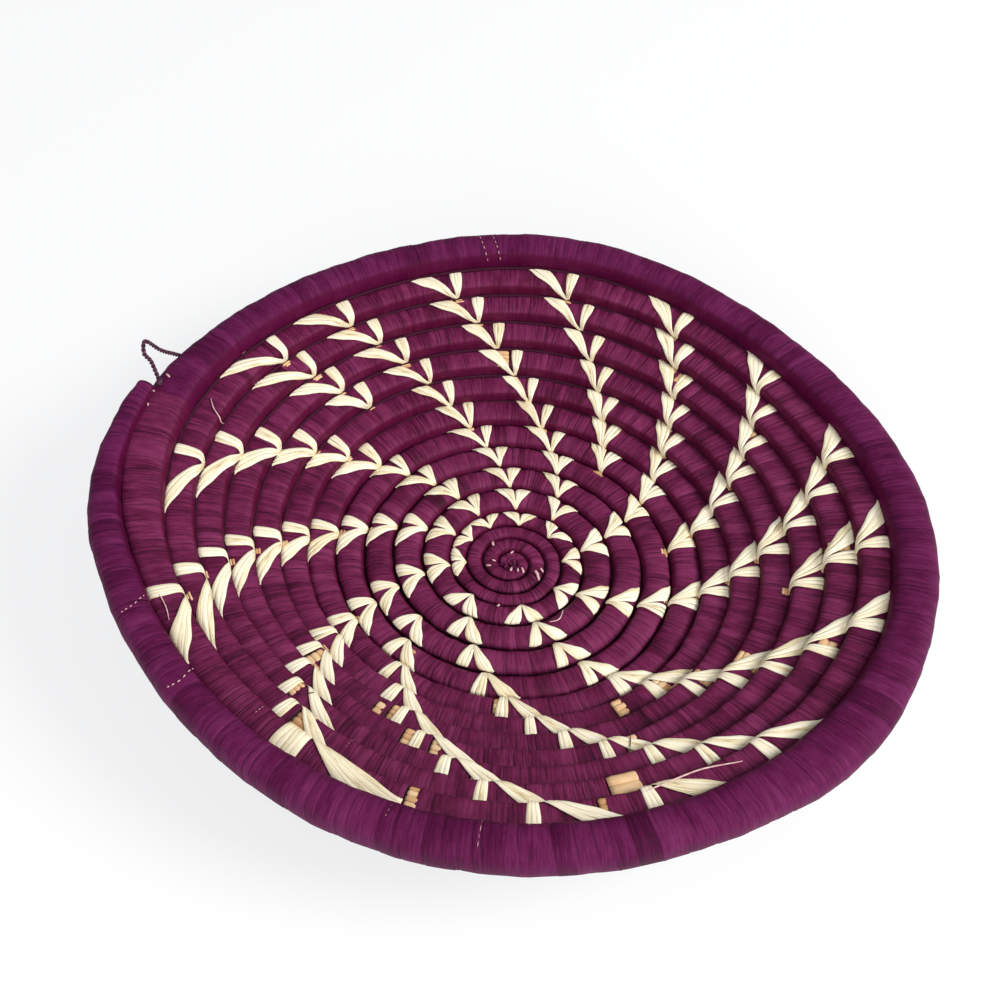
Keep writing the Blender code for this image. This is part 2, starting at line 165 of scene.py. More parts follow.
def coil_width(turn):
    width = START_WIDTH + (CENTRE_COIL_WIDTH - START_WIDTH) * smooth((turn - FIRST_TURN) / START_SWELL_TURNS)
    width = width + (COIL_WIDTH - CENTRE_COIL_WIDTH) * smooth((turn - COIL_SWELL_START) / COIL_SWELL_TURNS)
    width = width + (RIM_START_WIDTH - COIL_WIDTH) * smooth((turn - RIM_START) / RIM_SWELL_TURNS)
    fill_start = RIM_START + RIM_SWELL_TURNS
    width = width + (RIM_FULL_WIDTH - RIM_START_WIDTH) * smooth((turn - fill_start) / RIM_FILL_TURNS)
    return width + (TIP_WIDTH - width) * tip_share(turn)


TURN_STEPS = 200
TURNS = np.arange(FIRST_TURN - 1.0, LAST_TURN + 1.0, 1.0 / TURN_STEPS)


def reach_table():
    widths = coil_width(TURNS)
    reach = FIRST_RADIUS + (START_WIDTH + TURN_GAP) * (TURNS - FIRST_TURN)
    for index in range(TURN_STEPS, len(TURNS)):
        before = index - TURN_STEPS
        reach[index] = reach[before] + (widths[index] + widths[before]) / 2 + TURN_GAP
    return np.maximum(reach, 0.02)


REACH = reach_table()
REACH_STEP = 0.5
REACH_ROWS = np.arange(0.0, 170.0, REACH_STEP)
TABLE_AZIMUTHS = np.radians(np.arange(0.0, 361.0))


def local_stretch(distance, azimuth):
    """How much further apart than true the rounds lie at this distance and azimuth."""
    share = np.clip((distance - UNEVEN_START) / UNEVEN_LENGTH, 0.0, 1.0)
    growth = 6.0 * share * (1.0 - share) / UNEVEN_LENGTH
    uneven = 0.0
    for times, (cosine, sine) in enumerate(UNEVEN, start=1):
        uneven = uneven + cosine * np.cos(times * azimuth) + sine * np.sin(times * azimuth)
    return 1.0 + OVAL * np.cos(2 * azimuth) + OVAL_SKEW * np.sin(2 * azimuth) + uneven * growth


def frame_tables():
    """Radius, height and slope of the wall for each distance along it and each azimuth."""
    distance = REACH_ROWS[:, None]
    azimuth = TABLE_AZIMUTHS[None, :]
    rise = WALL_SLOPE * smooth((distance - FLAT_BASE_REACH) / KNUCKLE_LENGTH)
    ease = (WALL_SLOPE - LIP_SLOPE) * smooth((distance - LIP_START) / (LIP_END - LIP_START))
    lean = LEAN_RIGHT * np.cos(azimuth) + LEAN_BACK * np.sin(azimuth) + SADDLE * np.cos(2 * azimuth)
    slopes = rise - ease + lean * smooth((distance - FLAT_BASE_REACH) / LEAN_LENGTH)
    stretch = local_stretch(distance, azimuth)

    def total(values):
        steps = (values[1:] + values[:-1]) / 2 * REACH_STEP
        return np.vstack((np.zeros((1, steps.shape[1])), np.cumsum(steps, axis=0)))

    return total(np.cos(slopes) * stretch), total(np.sin(slopes) * stretch) + CENTRE_HEIGHT, slopes


RADII, HEIGHTS, SLOPES = frame_tables()


def look_up(table, reach, azimuth):
    """Values of a table between its rows of distance and its columns of azimuth."""
    row = reach / REACH_STEP
    column = np.degrees(azimuth) % 360.0
    low_row = np.clip(row.astype(int), 0, len(REACH_ROWS) - 2)
    low_column = np.clip(column.astype(int), 0, 359)
    row_share = row - low_row
    column_share = column - low_column

    def between(rows):
        return table[rows, low_column] * (1 - column_share) + table[rows, low_column + 1] * column_share

    return between(low_row) * (1 - row_share) + between(low_row + 1) * row_share


def coil_point(turn, outward, upward):
    """Points beside the middle of the coil, outward along the wall and upward off it, in millimetres."""
    azimuth = azimuth_at(turn)
    reach = np.interp(turn, TURNS, REACH)
    slope = look_up(SLOPES, reach, azimuth)
    outward = outward * local_stretch(reach, azimuth)
    radius = look_up(RADII, reach, azimuth) + outward * np.cos(slope) - upward * np.sin(slope)
    height = look_up(HEIGHTS, reach, azimuth) + outward * np.sin(slope) + upward * np.cos(slope)
    return together(AXIS_X + radius * np.cos(azimuth), AXIS_Y + radius * np.sin(azimuth), height)


LENGTH = walked(coil_point(TURNS, 0.0, 0.0))


def turn_at(length):
    return np.interp(length, LENGTH, TURNS)


def length_at(turn):
    return np.interp(turn, TURNS, LENGTH)


def row_turn(row, azimuth_degrees):
    return FIRST_ROW_TURN + row + (180.0 - azimuth_degrees) / 360.0


def rounded_outline(roundness):
    """The section's outline and its outward normals, from the bottom up the inner side and over the top."""
    angle = -math.pi / 2 - np.linspace(0.0, 2 * math.pi, 8 * SECTION_SAMPLES)
    power = 2.0 / roundness
    x = np.sign(np.cos(angle)) * np.abs(np.cos(angle)) ** power
    y = np.sign(np.sin(angle)) * np.abs(np.sin(angle)) ** power * SECTION_HALF_HEIGHT
    y = y + SECTION_CROWN * (1.0 - x**2) * (y > 0)
    passed = np.concatenate(((0.0,), np.cumsum(np.hypot(np.diff(x), np.diff(y)))))
    places = np.linspace(0.0, passed[-1], SECTION_SAMPLES + 1)
    outline = together(np.interp(places, passed, x), np.interp(places, passed, y))
    ahead = np.roll(outline[:-1], -1, axis=0) - np.roll(outline[:-1], 1, axis=0)
    normals = unit(together(-ahead[:, 1], ahead[:, 0]))
    return outline, np.vstack((normals, normals[:1])), passed[-1]


SECTIONS = [rounded_outline(power) for power in SECTION_POWERS]
OUTLINE_LENGTH = SECTIONS[1][2]
OUTLINE_SHARES = np.linspace(0.0, 1.0, SECTION_SAMPLES + 1)


def perimeter(turn):
    return OUTLINE_LENGTH * coil_width(turn) / 2


def section_tilt(turn):
    """How far the section is turned against the wall, in radians."""
    return SECTION_LEVEL_SHARE * look_up(SLOPES, np.interp(turn, TURNS, REACH), azimuth_at(turn))


def untilted(flat, tall, tilt):
    """Level and upright distances from the coil's middle as outward along the wall and upward off it."""
    return flat * np.cos(tilt) + tall * np.sin(tilt), tall * np.cos(tilt) - flat * np.sin(tilt)


def groove_shift(turn):
    """How far the outer and the inner side of the coil lie further out beside the rim's tip."""
    turns, shifts = zip(*GROOVE_SHIFTS)
    narrowing = (RIM_FULL_WIDTH - coil_width(turn)) / 2 * tip_share(turn)
    return np.interp(turn, turns, shifts), np.interp(turn - 1.0, turns, shifts) - narrowing


def loop_room(turn):
    """How far the coil's lower outer side is pulled in, to leave room for the hanging loop."""
    turns, rooms = zip(*LOOP_ROOMS)
    return np.interp(turn, turns, rooms)


def skin_point(turn, around, lift):
    """Points on the wrapping: around is the share of the way round the section, lift is off the surface."""
    around = np.asarray(around, float) % 1.0
    tilt = section_tilt(turn)
    rim = smooth((turn - RIM_START) / RIM_SWELL_TURNS)
    half = coil_width(turn) / 2
    wall = (1.0 - rim) * smooth(tilt / SQUARE_SLOPE)
    shares = (1.0 - rim - wall, wall, rim)
    wide = half * np.cos(tilt) * sum(share * fit for share, fit in zip(shares, SECTION_FITS))
    place = []
    for part in (0, 1):
        for axis in (0, 1):
            values = [np.interp(around, OUTLINE_SHARES, section[part][:, axis]) for section in SECTIONS]
            place.append(sum(share * value for share, value in zip(shares, values)))
    flat = wide * place[0] + place[2] * lift
    azimuth = np.degrees(azimuth_at(turn))
    swell = 0.0
    for middle, reach, most in RIM_SWELLS:
        off = (azimuth - middle + 180.0) % 360.0 - 180.0
        swell = swell + most * smooth(1.0 - np.abs(off) / reach)
    outer = np.clip(place[0], 0.0, 1.0)
    last_turn = smooth((turn - LAST_TURN + 1.0) / RIM_SWELL_TURNS)
    flat = flat + last_turn * swell * outer * (1.0 - tip_share(turn))
    end = smooth((turn - LAST_TURN) / TIP_END_TURNS + 1.0)
    flat = flat * (1.0 - TIP_END_CUT * end * (place[0] > 0.0))
    outer_shift, inner_shift = groove_shift(turn)
    flat = flat + outer_shift * outer + inner_shift * np.clip(-place[0], 0.0, 1.0)
    below = outer * smooth((LOOP_ROOM_TOP - place[1]) / LOOP_ROOM_TOP)
    flat = flat - loop_room(turn) * below
    return untilted(flat, half * place[1] + place[3] * lift, tilt)


def place_in_scene(name, data):
    made = bpy.data.objects.new(name, data)
    bpy.context.scene.collection.objects.link(made)
    return made


class Heap:
    """Closed tubes gathered into one mesh, each with its looks and its lay at every point."""

    def __init__(self):
        self.points = []
        self.looks = []
        self.lays = []
        self.loops = []
        self.counts = []
        self.size = 0

    def add(self, rings, looks, lays):
        """rings, looks and lays are arrays of stations by places round each ring by 3."""
        rows, columns = rings.shape[:2]
        index = np.arange(rows * columns).reshape(rows, columns) + self.size
        after = np.roll(index, -1, axis=1)
        quads = np.stack((index[:-1], after[:-1], after[1:], index[1:]), axis=-1).reshape(-1, 4)
        first_end = index[0][::-1]
        last_end = index[-1]
        middle = rings.mean(axis=1)
        across = np.cross(rings[1] - rings[0], np.roll(rings[0], -1, axis=0) - rings[0])
        if float(np.sum(across * (rings[0] - middle[0]))) > 0:
            quads = quads[:, ::-1]
            first_end = first_end[::-1]
            last_end = last_end[::-1]
        self.points.append(rings.reshape(-1, 3))
        self.looks.append(np.broadcast_to(looks, rings.shape).reshape(-1, 3))
        self.lays.append(np.broadcast_to(lays, rings.shape).reshape(-1, 3))
        self.loops += [quads.ravel(), first_end, last_end]
        self.counts += [np.full(len(quads), 4), (columns,), (columns,)]
        self.size += rows * columns

    def build(self, name, material, body="basket"):
        """One mesh of everything added, riding on a body."""
        points = np.concatenate(self.points) * MM
        counts = np.concatenate(self.counts)
        loops = np.concatenate(self.loops)
        mesh = bpy.data.meshes.new(name)
        mesh.vertices.add(len(points))
        mesh.vertices.foreach_set("co", points.ravel())
        mesh.loops.add(len(loops))
        mesh.loops.foreach_set("vertex_index", loops.astype(np.int32))
        mesh.polygons.add(len(counts))
        starts = np.concatenate(((0,), np.cumsum(counts)[:-1]))
        mesh.polygons.foreach_set("loop_start", starts.astype(np.int32))
        mesh.polygons.foreach_set("use_smooth", np.ones(len(counts), bool))
        mesh.update(calc_edges=True)
        for title, parts in (("look", self.looks), ("lay", self.lays)):
            attribute = mesh.attributes.new(title, "FLOAT_VECTOR", "POINT")
            attribute.data.foreach_set("vector", np.concatenate(parts).astype(np.float32).ravel())
        mesh.materials.append(material)
        piece = place_in_scene(name, mesh)
        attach(piece, body)
        return piece


class Shader:
    """Short names for the nodes of one material."""

    def __init__(self, name):
        self.material = bpy.data.materials.new(name)
        self.material.use_nodes = True
        self.tree = self.material.node_tree
        self.surface = self.tree.nodes["Principled BSDF"]

    def node(self, kind, **settings):
        made = self.tree.nodes.new(kind)
        for key, value in settings.items():
            setattr(made, key, value)
        return made

    def link(self, source, target):
        self.tree.links.new(source, target)

    def attribute(self, name):
        return self.node("ShaderNodeAttribute", attribute_name=name).outputs["Vector"]

    def parts(self, vector):
        split = self.node("ShaderNodeSeparateXYZ")
        self.link(vector, split.inputs[0])
        return split.outputs

    def stretched_noise(self, vector, scale, detail, roughness):
        mapping = self.node("ShaderNodeMapping")
        mapping.inputs["Scale"].default_value = scale
        self.link(vector, mapping.inputs["Vector"])
        noise = self.node("ShaderNodeTexNoise")
        noise.inputs["Scale"].default_value = 1.0
        noise.inputs["Detail"].default_value = detail
        noise.inputs["Roughness"].default_value = roughness
        self.link(mapping.outputs[0], noise.inputs["Vector"])
        return noise.outputs["Fac"]

    def maths(self, operation, *values, clamp=False):
        made = self.node("ShaderNodeMath", operation=operation, use_clamp=clamp)
        for index, value in enumerate(values):
            if isinstance(value, (int, float)):
                made.inputs[index].default_value = value
            else:
                self.link(value, made.inputs[index])
        return made.outputs[0]

    def ramp(self, value, *stops):
        made = self.node("ShaderNodeValToRGB")
        elements = made.color_ramp.elements
        while len(elements) < len(stops):
            elements.new(0.5)
        for element, (place, colour) in zip(elements, stops):
            element.position = place
            element.color = (*colour, 1.0)
        self.link(value, made.inputs["Fac"])
        return made.outputs["Color"]

    def mix(self, share, first, second):
        made = self.node("ShaderNodeMix", data_type="RGBA")
        for socket, value in ((made.inputs[0], share), (made.inputs[6], first), (made.inputs[7], second)):
            if isinstance(value, tuple):
                socket.default_value = (*value, 1.0)
            elif isinstance(value, float):
                socket.default_value = value
            else:
                self.link(value, socket)
        return made.outputs[2]

    def bump(self, height, distance, strength):
        made = self.node("ShaderNodeBump")
        made.inputs["Distance"].default_value = distance
        made.inputs["Strength"].default_value = strength
        self.link(height, made.inputs["Height"])
        self.link(made.outputs[0], self.surface.inputs["Normal"])

    def finish(self, colour, roughness, specular):
        self.link(colour, self.surface.inputs["Base Color"])
        if isinstance(roughness, float):
            self.surface.inputs["Roughness"].default_value = roughness
        else:
            self.link(roughness, self.surface.inputs["Roughness"])
        self.surface.inputs["Specular IOR Level"].default_value = specular
        return self.material


# How much the fibres, the strips and the blotches change the colour of dyed raffia, how far the painted shade
# on the riser covers it, and the colour of the painted shade in its deepest creases
FIBRE_CONTRAST = 1.25
FIBRE_OFFSET = -0.40
SHADE_CONTRAST = 0.42
BLOTCH_CONTRAST = 0.36
RISER_SHADE_COVER = 0.75
# Painted shade: the near-black colour that creases, grooves and hollows are darkened towards
CREASE_SHADE_COLOUR = (0.010, 0.0003, 0.004)
LEAST_ROUGHNESS = 0.50
ROUGHNESS_CONTRAST = 0.22


def purple_material(name, dark, middle, light, riser_shade_colour, crease_shade_share, shine):
    """Dyed raffia. The look holds the strip's random tone, the strength of the painted shade in creases,
    grooves and hollows, and where the painted shade of the riser lies.
    """
    s = Shader(name)
    shade, crease, riser_shade = s.parts(s.attribute("look"))
    lay = s.attribute("lay")
    fibre = s.stretched_noise(lay, (1.4, 0.10, 0.10), detail=6.0, roughness=0.8)
    blotch = s.stretched_noise(lay, (0.16, 0.13, 0.13), detail=3.0, roughness=0.55)
    value = s.maths("MULTIPLY_ADD", fibre, FIBRE_CONTRAST, FIBRE_OFFSET)
    value = s.maths("ADD", value, s.maths("MULTIPLY", shade, SHADE_CONTRAST))
    value = s.maths("ADD", value, s.maths("MULTIPLY", blotch, BLOTCH_CONTRAST))
    colour = s.ramp(value, (0.30, dark), (0.56, middle), (0.85, light))
    # Painted shade on the riser, the inner side of each turn: a darker, more saturated colour than the lit
    # tread
    colour = s.mix(s.maths("MULTIPLY", riser_shade, RISER_SHADE_COVER), colour, riser_shade_colour)
    # Painted shade in creases, grooves and hollows
    crease_shade = s.maths("MULTIPLY", crease, crease_shade_share, clamp=True)
    colour = s.mix(crease_shade, colour, CREASE_SHADE_COLOUR)
    s.bump(fibre, distance=0.0003, strength=0.8)
    roughness = s.maths("MULTIPLY_ADD", fibre, ROUGHNESS_CONTRAST, LEAST_ROUGHNESS)
    return s.finish(colour, roughness, specular=shine)


def cream_material():
    """Undyed raffia strips. The look holds the strip's shade, its edge shadow, and how tan it is."""
    s = Shader("cream_raffia")
    shade, edge, tan = s.parts(s.attribute("look"))
    lay = s.attribute("lay")
    fibre = s.stretched_noise(lay, (0.10, 3.2, 1.0), detail=5.0, roughness=0.7)
    blotch = s.stretched_noise(lay, (0.14, 0.5, 1.0), detail=2.0, roughness=0.5)
    value = s.maths("ADD", s.maths("MULTIPLY", fibre, 1.1), s.maths("MULTIPLY", shade, 0.2))
    colour = s.ramp(value, (0.42, (0.46, 0.32, 0.13)), (0.54, (0.86, 0.75, 0.50)), (0.72, (0.95, 0.88, 0.70)))
    tanned = s.maths("MULTIPLY", tan, s.maths("ADD", blotch, 0.25), clamp=True)
    colour = s.mix(tanned, colour, (0.62, 0.40, 0.18))
    # Painted shadow at the strip's edges and underside
    colour = s.mix(s.maths("MULTIPLY", edge, 0.6, clamp=True), colour, (0.30, 0.21, 0.09))
    s.bump(fibre, distance=0.00015, strength=0.6)
    return s.finish(colour, roughness=0.46, specular=0.45)


def stalk_material():
    """Dry stalks. The look holds the stalk's shade and its edge shadow."""
    s = Shader("stalks")
    shade, edge, _ = s.parts(s.attribute("look"))
    fibre = s.stretched_noise(s.attribute("lay"), (0.3, 2.5, 2.5), detail=4.0, roughness=0.6)
    value = s.maths("ADD", s.maths("MULTIPLY", fibre, 0.6), s.maths("MULTIPLY", shade, 0.5))
    colour = s.ramp(value, (0.2, (0.40, 0.19, 0.08)), (0.5, (0.68, 0.39, 0.19)), (0.85, (0.86, 0.62, 0.37)))
    colour = s.mix(edge, colour, (0.10, 0.02, 0.04))
    s.bump(fibre, distance=0.00012, strength=0.6)
    return s.finish(colour, roughness=0.6, specular=0.35)


def cord_material():
    s = Shader("dark_cord")
    fibre = s.stretched_noise(s.attribute("lay"), (0.35, 2.0, 2.0), detail=4.0, roughness=0.6)
    dark, middle, light = (0.018, 0.002, 0.010), (0.075, 0.018, 0.045), (0.20, 0.10, 0.13)
    colour = s.ramp(fibre, (0.3, dark), (0.55, middle), (0.8, light))
    s.bump(fibre, distance=0.0002, strength=0.8)
    return s.finish(colour, roughness=0.6, specular=0.35)


def pale_fibre_material():
    s = Shader("pale_fibre")
    fibre = s.stretched_noise(s.attribute("lay"), (0.4, 1.0, 1.0), detail=2.0, roughness=0.5)
    colour = s.ramp(fibre, (0.3, (0.55, 0.26, 0.31)), (0.7, (0.88, 0.64, 0.60)))
    return s.finish(colour, roughness=0.5, specular=0.4)


PURPLE = purple_material(
    "purple_raffia",
    dark=(0.028, 0.0004, 0.010),
    middle=(0.116, 0.0066, 0.047),
    light=(0.205, 0.026, 0.100),
    riser_shade_colour=(0.088, 0.0008, 0.026),
    crease_shade_share=1.0,
    shine=0.16,
)
# A darker copy of the dyed raffia for the rim, with less crease shade and less shine: the darkening is
# painted shade, matched to how dim the rim looks
SHADED_RIM_PURPLE = purple_material(
    "rim_raffia",
    dark=(0.040, 0.0008, 0.020),
    middle=(0.086, 0.0036, 0.045),
    light=(0.145, 0.016, 0.086),
    riser_shade_colour=(0.080, 0.0006, 0.028),
    crease_shade_share=0.85,
    shine=0.10,
)
CREAM = cream_material()
STALKS = stalk_material()
DARK_CORD = cord_material()
PALE_FIBRE = pale_fibre_material()

# Wrapping: places round the section, and how the strips lie
AROUND = np.array((
    0.18, 0.22, 0.26, 0.30, 0.335, 0.36, 0.38, 0.405, 0.44, 0.48, 0.52, 0.56, 0.595, 0.62, 0.64, 0.67, 0.71,
    0.76, 0.82, 0.90, 0.0, 0.09,
))
STRIP_SLANT = 0.9
SLANT_FADE_TURNS = 3.0
STRIP_LEAST = 2.0
STRIP_MOST = 5.6
STRIP_SHADES = (0.5, 0.15)
SHADE_WANDER = 0.05
CENTRE_END_TURN = 2.0
CENTRE_FADE_TURNS = 2.5
CENTRE_STRIP_SHARE = 0.45
CREASE_LEAST = 0.55
CREASE_MOST = 1.9
CREASE_HALF = 0.29
CREASE_ROOM = 2.5 * CREASE_HALF
LEAST_STEP = 0.05
CREASE_DEPTH = 0.2
# How deep a crease is, which also sets the strength of its painted shade
CREASE_DEPTHS = (0.45, 1.0)
CREASE_GAPS = (0.7, 1.8)
CREASE_FADE = (0.45, 0.75)
CENTRE_ROUGHNESS = 1.6
# Strip edges: how deep they dip, and a random share of that depth, which also sets their painted shade
STRIP_EDGE_DEPTH = 0.22
STRIP_EDGES = (0.35, 1.0)
STRIP_HEIGHT = 0.09
CALM_RIM = (14.68, 15.48)
CALM_RIM_EDGE = 0.06
CALM_STRIP_GROWTH = 0.7
CALM_CREASE_GAP = 2.0
CALM_SIDE = (0.1, 0.37)
CALM_SIDE_EDGES = (0.05, 0.03)
RISER_SMOOTHNESS = 0.85
RISER_TOP = 0.385
RISER_EDGE = 0.02
# Painted shade in the grooves beside each turn: where it starts round the section on the inner and the outer
# side, how far it fades in, and how dark it is
SEAM_INNER = 0.24
SEAM_OUTER = 0.63
SEAM_FADE = 0.07
SEAM_SHADE = 0.9
WRAP_END_EASE = 1.0
CAP_ANGLES = np.radians(np.linspace(15.0, 85.0, 6))[:, None]

# Places where the stalks show: row, azimuth, width along the coil, reach round the section
BARE_PATCHES = (
    (7, 91.5, 5.0, 0.36, 0.60),
    (8, 24.5, 3.0, 0.42, 0.60),
    (8, 46.0, 3.0, 0.46, 0.62),
    (9, -7.0, 3.5, 0.38, 0.58),
    (9, -27.0, 3.5, 0.44, 0.60),
    (7, -33.5, 6.0, 0.36, 0.62),
    (6, -41.0, 4.0, 0.38, 0.60),
    (5, -47.5, 4.0, 0.40, 0.60),
    (5, -60.5, 4.0, 0.38, 0.58),
    (7, -65.0, 4.5, 0.40, 0.62),
    (6, -144.0, 4.0, 0.38, 0.60),
    (8, -137.5, 4.0, 0.36, 0.56),
    (9, -129.5, 6.5, 0.34, 0.62),
    (3, -131.0, 3.0, 0.42, 0.60),
    (6, -119.0, 4.0, 0.38, 0.58),
    (6, -123.0, 3.0, 0.44, 0.60),
    (7, -112.5, 3.5, 0.38, 0.58),
    (7, -106.0, 3.5, 0.40, 0.60),
    (8, -96.5, 3.5, 0.40, 0.60),
    (10, -105.5, 4.0, 0.36, 0.60),
    (4, -94.0, 3.5, 0.38, 0.58),
    (9, -71.0, 10.5, 0.36, 0.62),
    (10, -76.0, 3.0, 0.38, 0.60),
)
PATCH_DEPTH = 0.75
PATCH_EDGE = 0.12
PATCH_FADE = 0.04
WIDE_PATCH = 10.0
TIP_ROUNDING = 0.45
TIP_HUG = 0.8
FLOOR_CLEARANCE = 0.02

# Slow unevenness: height, wavelength, waves round the section, and where the wave starts
LUMPS = ((0.13, 31.0, 1, 0.3), (0.09, 12.7, -2, 0.1), (0.05, 6.1, 3, 0.7))


def patch_range(patch):
    row, azimuth, width, _, _ = patch
    middle = length_at(row_turn(row, azimuth))
    return middle - width / 2, middle + width / 2


def strip_stations(start, end):
    """Stations along the wrapping: place, strip tone and height, crease depth, middle and the strength of the
    crease's painted shade.
    """
    rows = []
    place = start
    while place < end:
        turn = turn_at(place)
        outside = float(smooth((turn - CENTRE_END_TURN) / CENTRE_FADE_TURNS))
        centre = CENTRE_STRIP_SHARE + (1 - CENTRE_STRIP_SHARE) * outside
        calm = smooth((turn - CALM_RIM[0]) / CALM_RIM_EDGE) * smooth((CALM_RIM[1] - turn) / CALM_RIM_EDGE)
        width = RNG.uniform(STRIP_LEAST, STRIP_MOST) * centre * (1.0 + CALM_STRIP_GROWTH * calm)
        shade = RNG.normal(*STRIP_SHADES)
        height = RNG.uniform(-STRIP_HEIGHT, STRIP_HEIGHT)
        busy = RNG.uniform(*CREASE_GAPS) * (1.0 + CALM_CREASE_GAP * calm)
        edge = RNG.uniform(*STRIP_EDGES)
        middle = RNG.uniform(0.0, 1.0)
        # The strip's edge is dipped and given painted shade
        rows.append((place, shade, height, STRIP_EDGE_DEPTH * edge, middle, edge))
        rows.append((place + CREASE_HALF, shade, height, 0.0, middle, 0.0))
        crease = place + CREASE_HALF
        while True:
            crease += RNG.uniform(CREASE_LEAST, CREASE_MOST) * busy * centre
            if crease > place + width - CREASE_ROOM:
                break
            depth = RNG.uniform(*CREASE_DEPTHS)
            middle = RNG.uniform(0.0, 1.0)
            shade = shade + RNG.normal(0.0, SHADE_WANDER)
            rows.append((crease - CREASE_HALF, shade, height, 0.0, middle, 0.0))
            rough = 1.0 + CENTRE_ROUGHNESS * (1.0 - centre)
            # The crease is dipped and given painted shade
            rows.append((crease, shade, height, CREASE_DEPTH * depth * rough, middle, depth))
            rows.append((crease + CREASE_HALF, shade, height, 0.0, middle, 0.0))
        place += width
        rows.append((place - CREASE_HALF, shade, height, 0.0, middle, 0.0))
    stations = np.array([row for row in rows if row[0] <= end - LEAST_STEP])
    last = stations[-1].copy()
    last[0] = end
    return np.vstack((stations, last[None, :]))


def lumps(length, around):
    """Slow unevenness of the stalk bundle under the wrapping."""
    rise = 0.0
    for height, wavelength, waves, shift in LUMPS:
        rise = rise + height * np.sin(2 * math.pi * (length / wavelength + waves * around + shift))
    return rise


def build_wrapping(name, start_turn, end_turn, material):
    """One round of wrapping: a tube whose rings follow the strips and their creases."""
    start = length_at(start_turn)
    end = length_at(end_turn)
    table = strip_stations(start, end)
    patches = [(*patch_range(patch), *patch[3:]) for patch in BARE_PATCHES]
    patches = [patch for patch in patches if start < patch[0] and patch[1] < end]
    for low, high, _, _ in patches:
        extra = np.array([low - PATCH_EDGE, low, high, high + PATCH_EDGE])
        nearest = np.searchsorted(table[:, 0], extra) - 1
        rows = table[nearest].copy()
        rows[:, 0] = extra
        rows[:, 3] = 0.0
        rows[:, 5] = 0.0
        table = np.vstack((table, rows))
    table = table[np.argsort(table[:, 0], kind="stable")]
    place = table[:, :1]
    around = AROUND[None, :]
    squeeze = np.ones_like(place)
    hug = 0.0
    caps = (0, 0)
    if start_turn <= FIRST_TURN:
        size = float(coil_width(start_turn)) / 2
        place = np.vstack((start - size * np.sin(CAP_ANGLES[::-1]), place))
        squeeze = np.vstack((np.cos(CAP_ANGLES[::-1]), squeeze))
        caps = (len(CAP_ANGLES), 0)
    elif end_turn >= LAST_TURN:
        size = float(coil_width(end_turn)) / 2 * TIP_ROUNDING
        place = np.vstack((place, end + size * np.sin(CAP_ANGLES)))
        squeeze = np.vstack((squeeze, np.cos(CAP_ANGLES)))
        hug = -TIP_HUG * size * (1.0 - squeeze)
        caps = (0, len(CAP_ANGLES))
    table = np.pad(table, (caps, (0, 0)), mode="edge")
    shade, height, depth, middle, dark = (column[:, None] for column in table.T[1:])
    partial = np.clip(CREASE_FADE[0] + CREASE_FADE[1] * np.cos(2 * math.pi * (around - middle)), 0.0, 1.0)
    inner_side = smooth((CALM_SIDE[1] - around) / CALM_SIDE_EDGES[1])
    inner_side = inner_side * smooth((around - CALM_SIDE[0]) / CALM_SIDE_EDGES[0])
    partial = partial * (1.0 - RISER_SMOOTHNESS * inner_side)
    slant = STRIP_SLANT * np.sin(2 * math.pi * (around - 0.25))
    slant = slant * smooth((turn_at(place) - CENTRE_END_TURN) / SLANT_FADE_TURNS)
    along = place + slant
    turn = turn_at(along)
    ends = smooth((place - start) / WRAP_END_EASE) * smooth((end - place) / WRAP_END_EASE)
    lift = (height - depth * partial) * ends
    lift = lift + lumps(along, around) * np.minimum(1.0, coil_width(turn) / COIL_WIDTH)
    # Where the painted shade of the riser lies round the section
    riser_shade = smooth((RISER_TOP - around) / RISER_EDGE)
    # Painted shade in the grooves beside the turn; on the rim only the inner groove gets it
    seam = SEAM_SHADE * smooth((SEAM_INNER - around) / SEAM_FADE)
    if end_turn < LAST_TURN:
        seam = seam + SEAM_SHADE * smooth((around - SEAM_OUTER) / SEAM_FADE)
    # Looks: the strip's tone, the painted shade of creases and grooves, and the riser's painted shade
    looks = together(shade, np.maximum(dark * partial, seam), riser_shade)
    for low, high, inner, outer in patches:
        inside = (place > low - 0.01) & (place < high + 0.01)
        opened = smooth((around - inner + PATCH_FADE / 2) / PATCH_FADE)
        hollow = inside * (opened * smooth((outer - around + PATCH_FADE / 2) / PATCH_FADE))
        lift = lift - PATCH_DEPTH * hollow
        # Painted shade in the hollow where the stalks show
        looks[..., 1] = np.maximum(looks[..., 1], hollow)
    outward, upward = skin_point(turn, around, lift)
    outward = outward * squeeze + hug
    upward = upward * squeeze
    if end_turn <= FLAT_FOOT_TURNS + 0.01:
        upward = np.maximum(upward, FLOOR_CLEARANCE - CENTRE_HEIGHT)
    heap = Heap()
    heap.add(coil_point(turn, outward, upward), looks, together(along, outward, upward))
    return heap.build(name, material)


# Tuft in the middle of the coil
TUFT_RADIUS = 6.0
TUFT_HALF_HEIGHT = 1.5
TUFT_DROP = 0.9
TUFT_ROWS = 12
TUFT_COLUMNS = 28


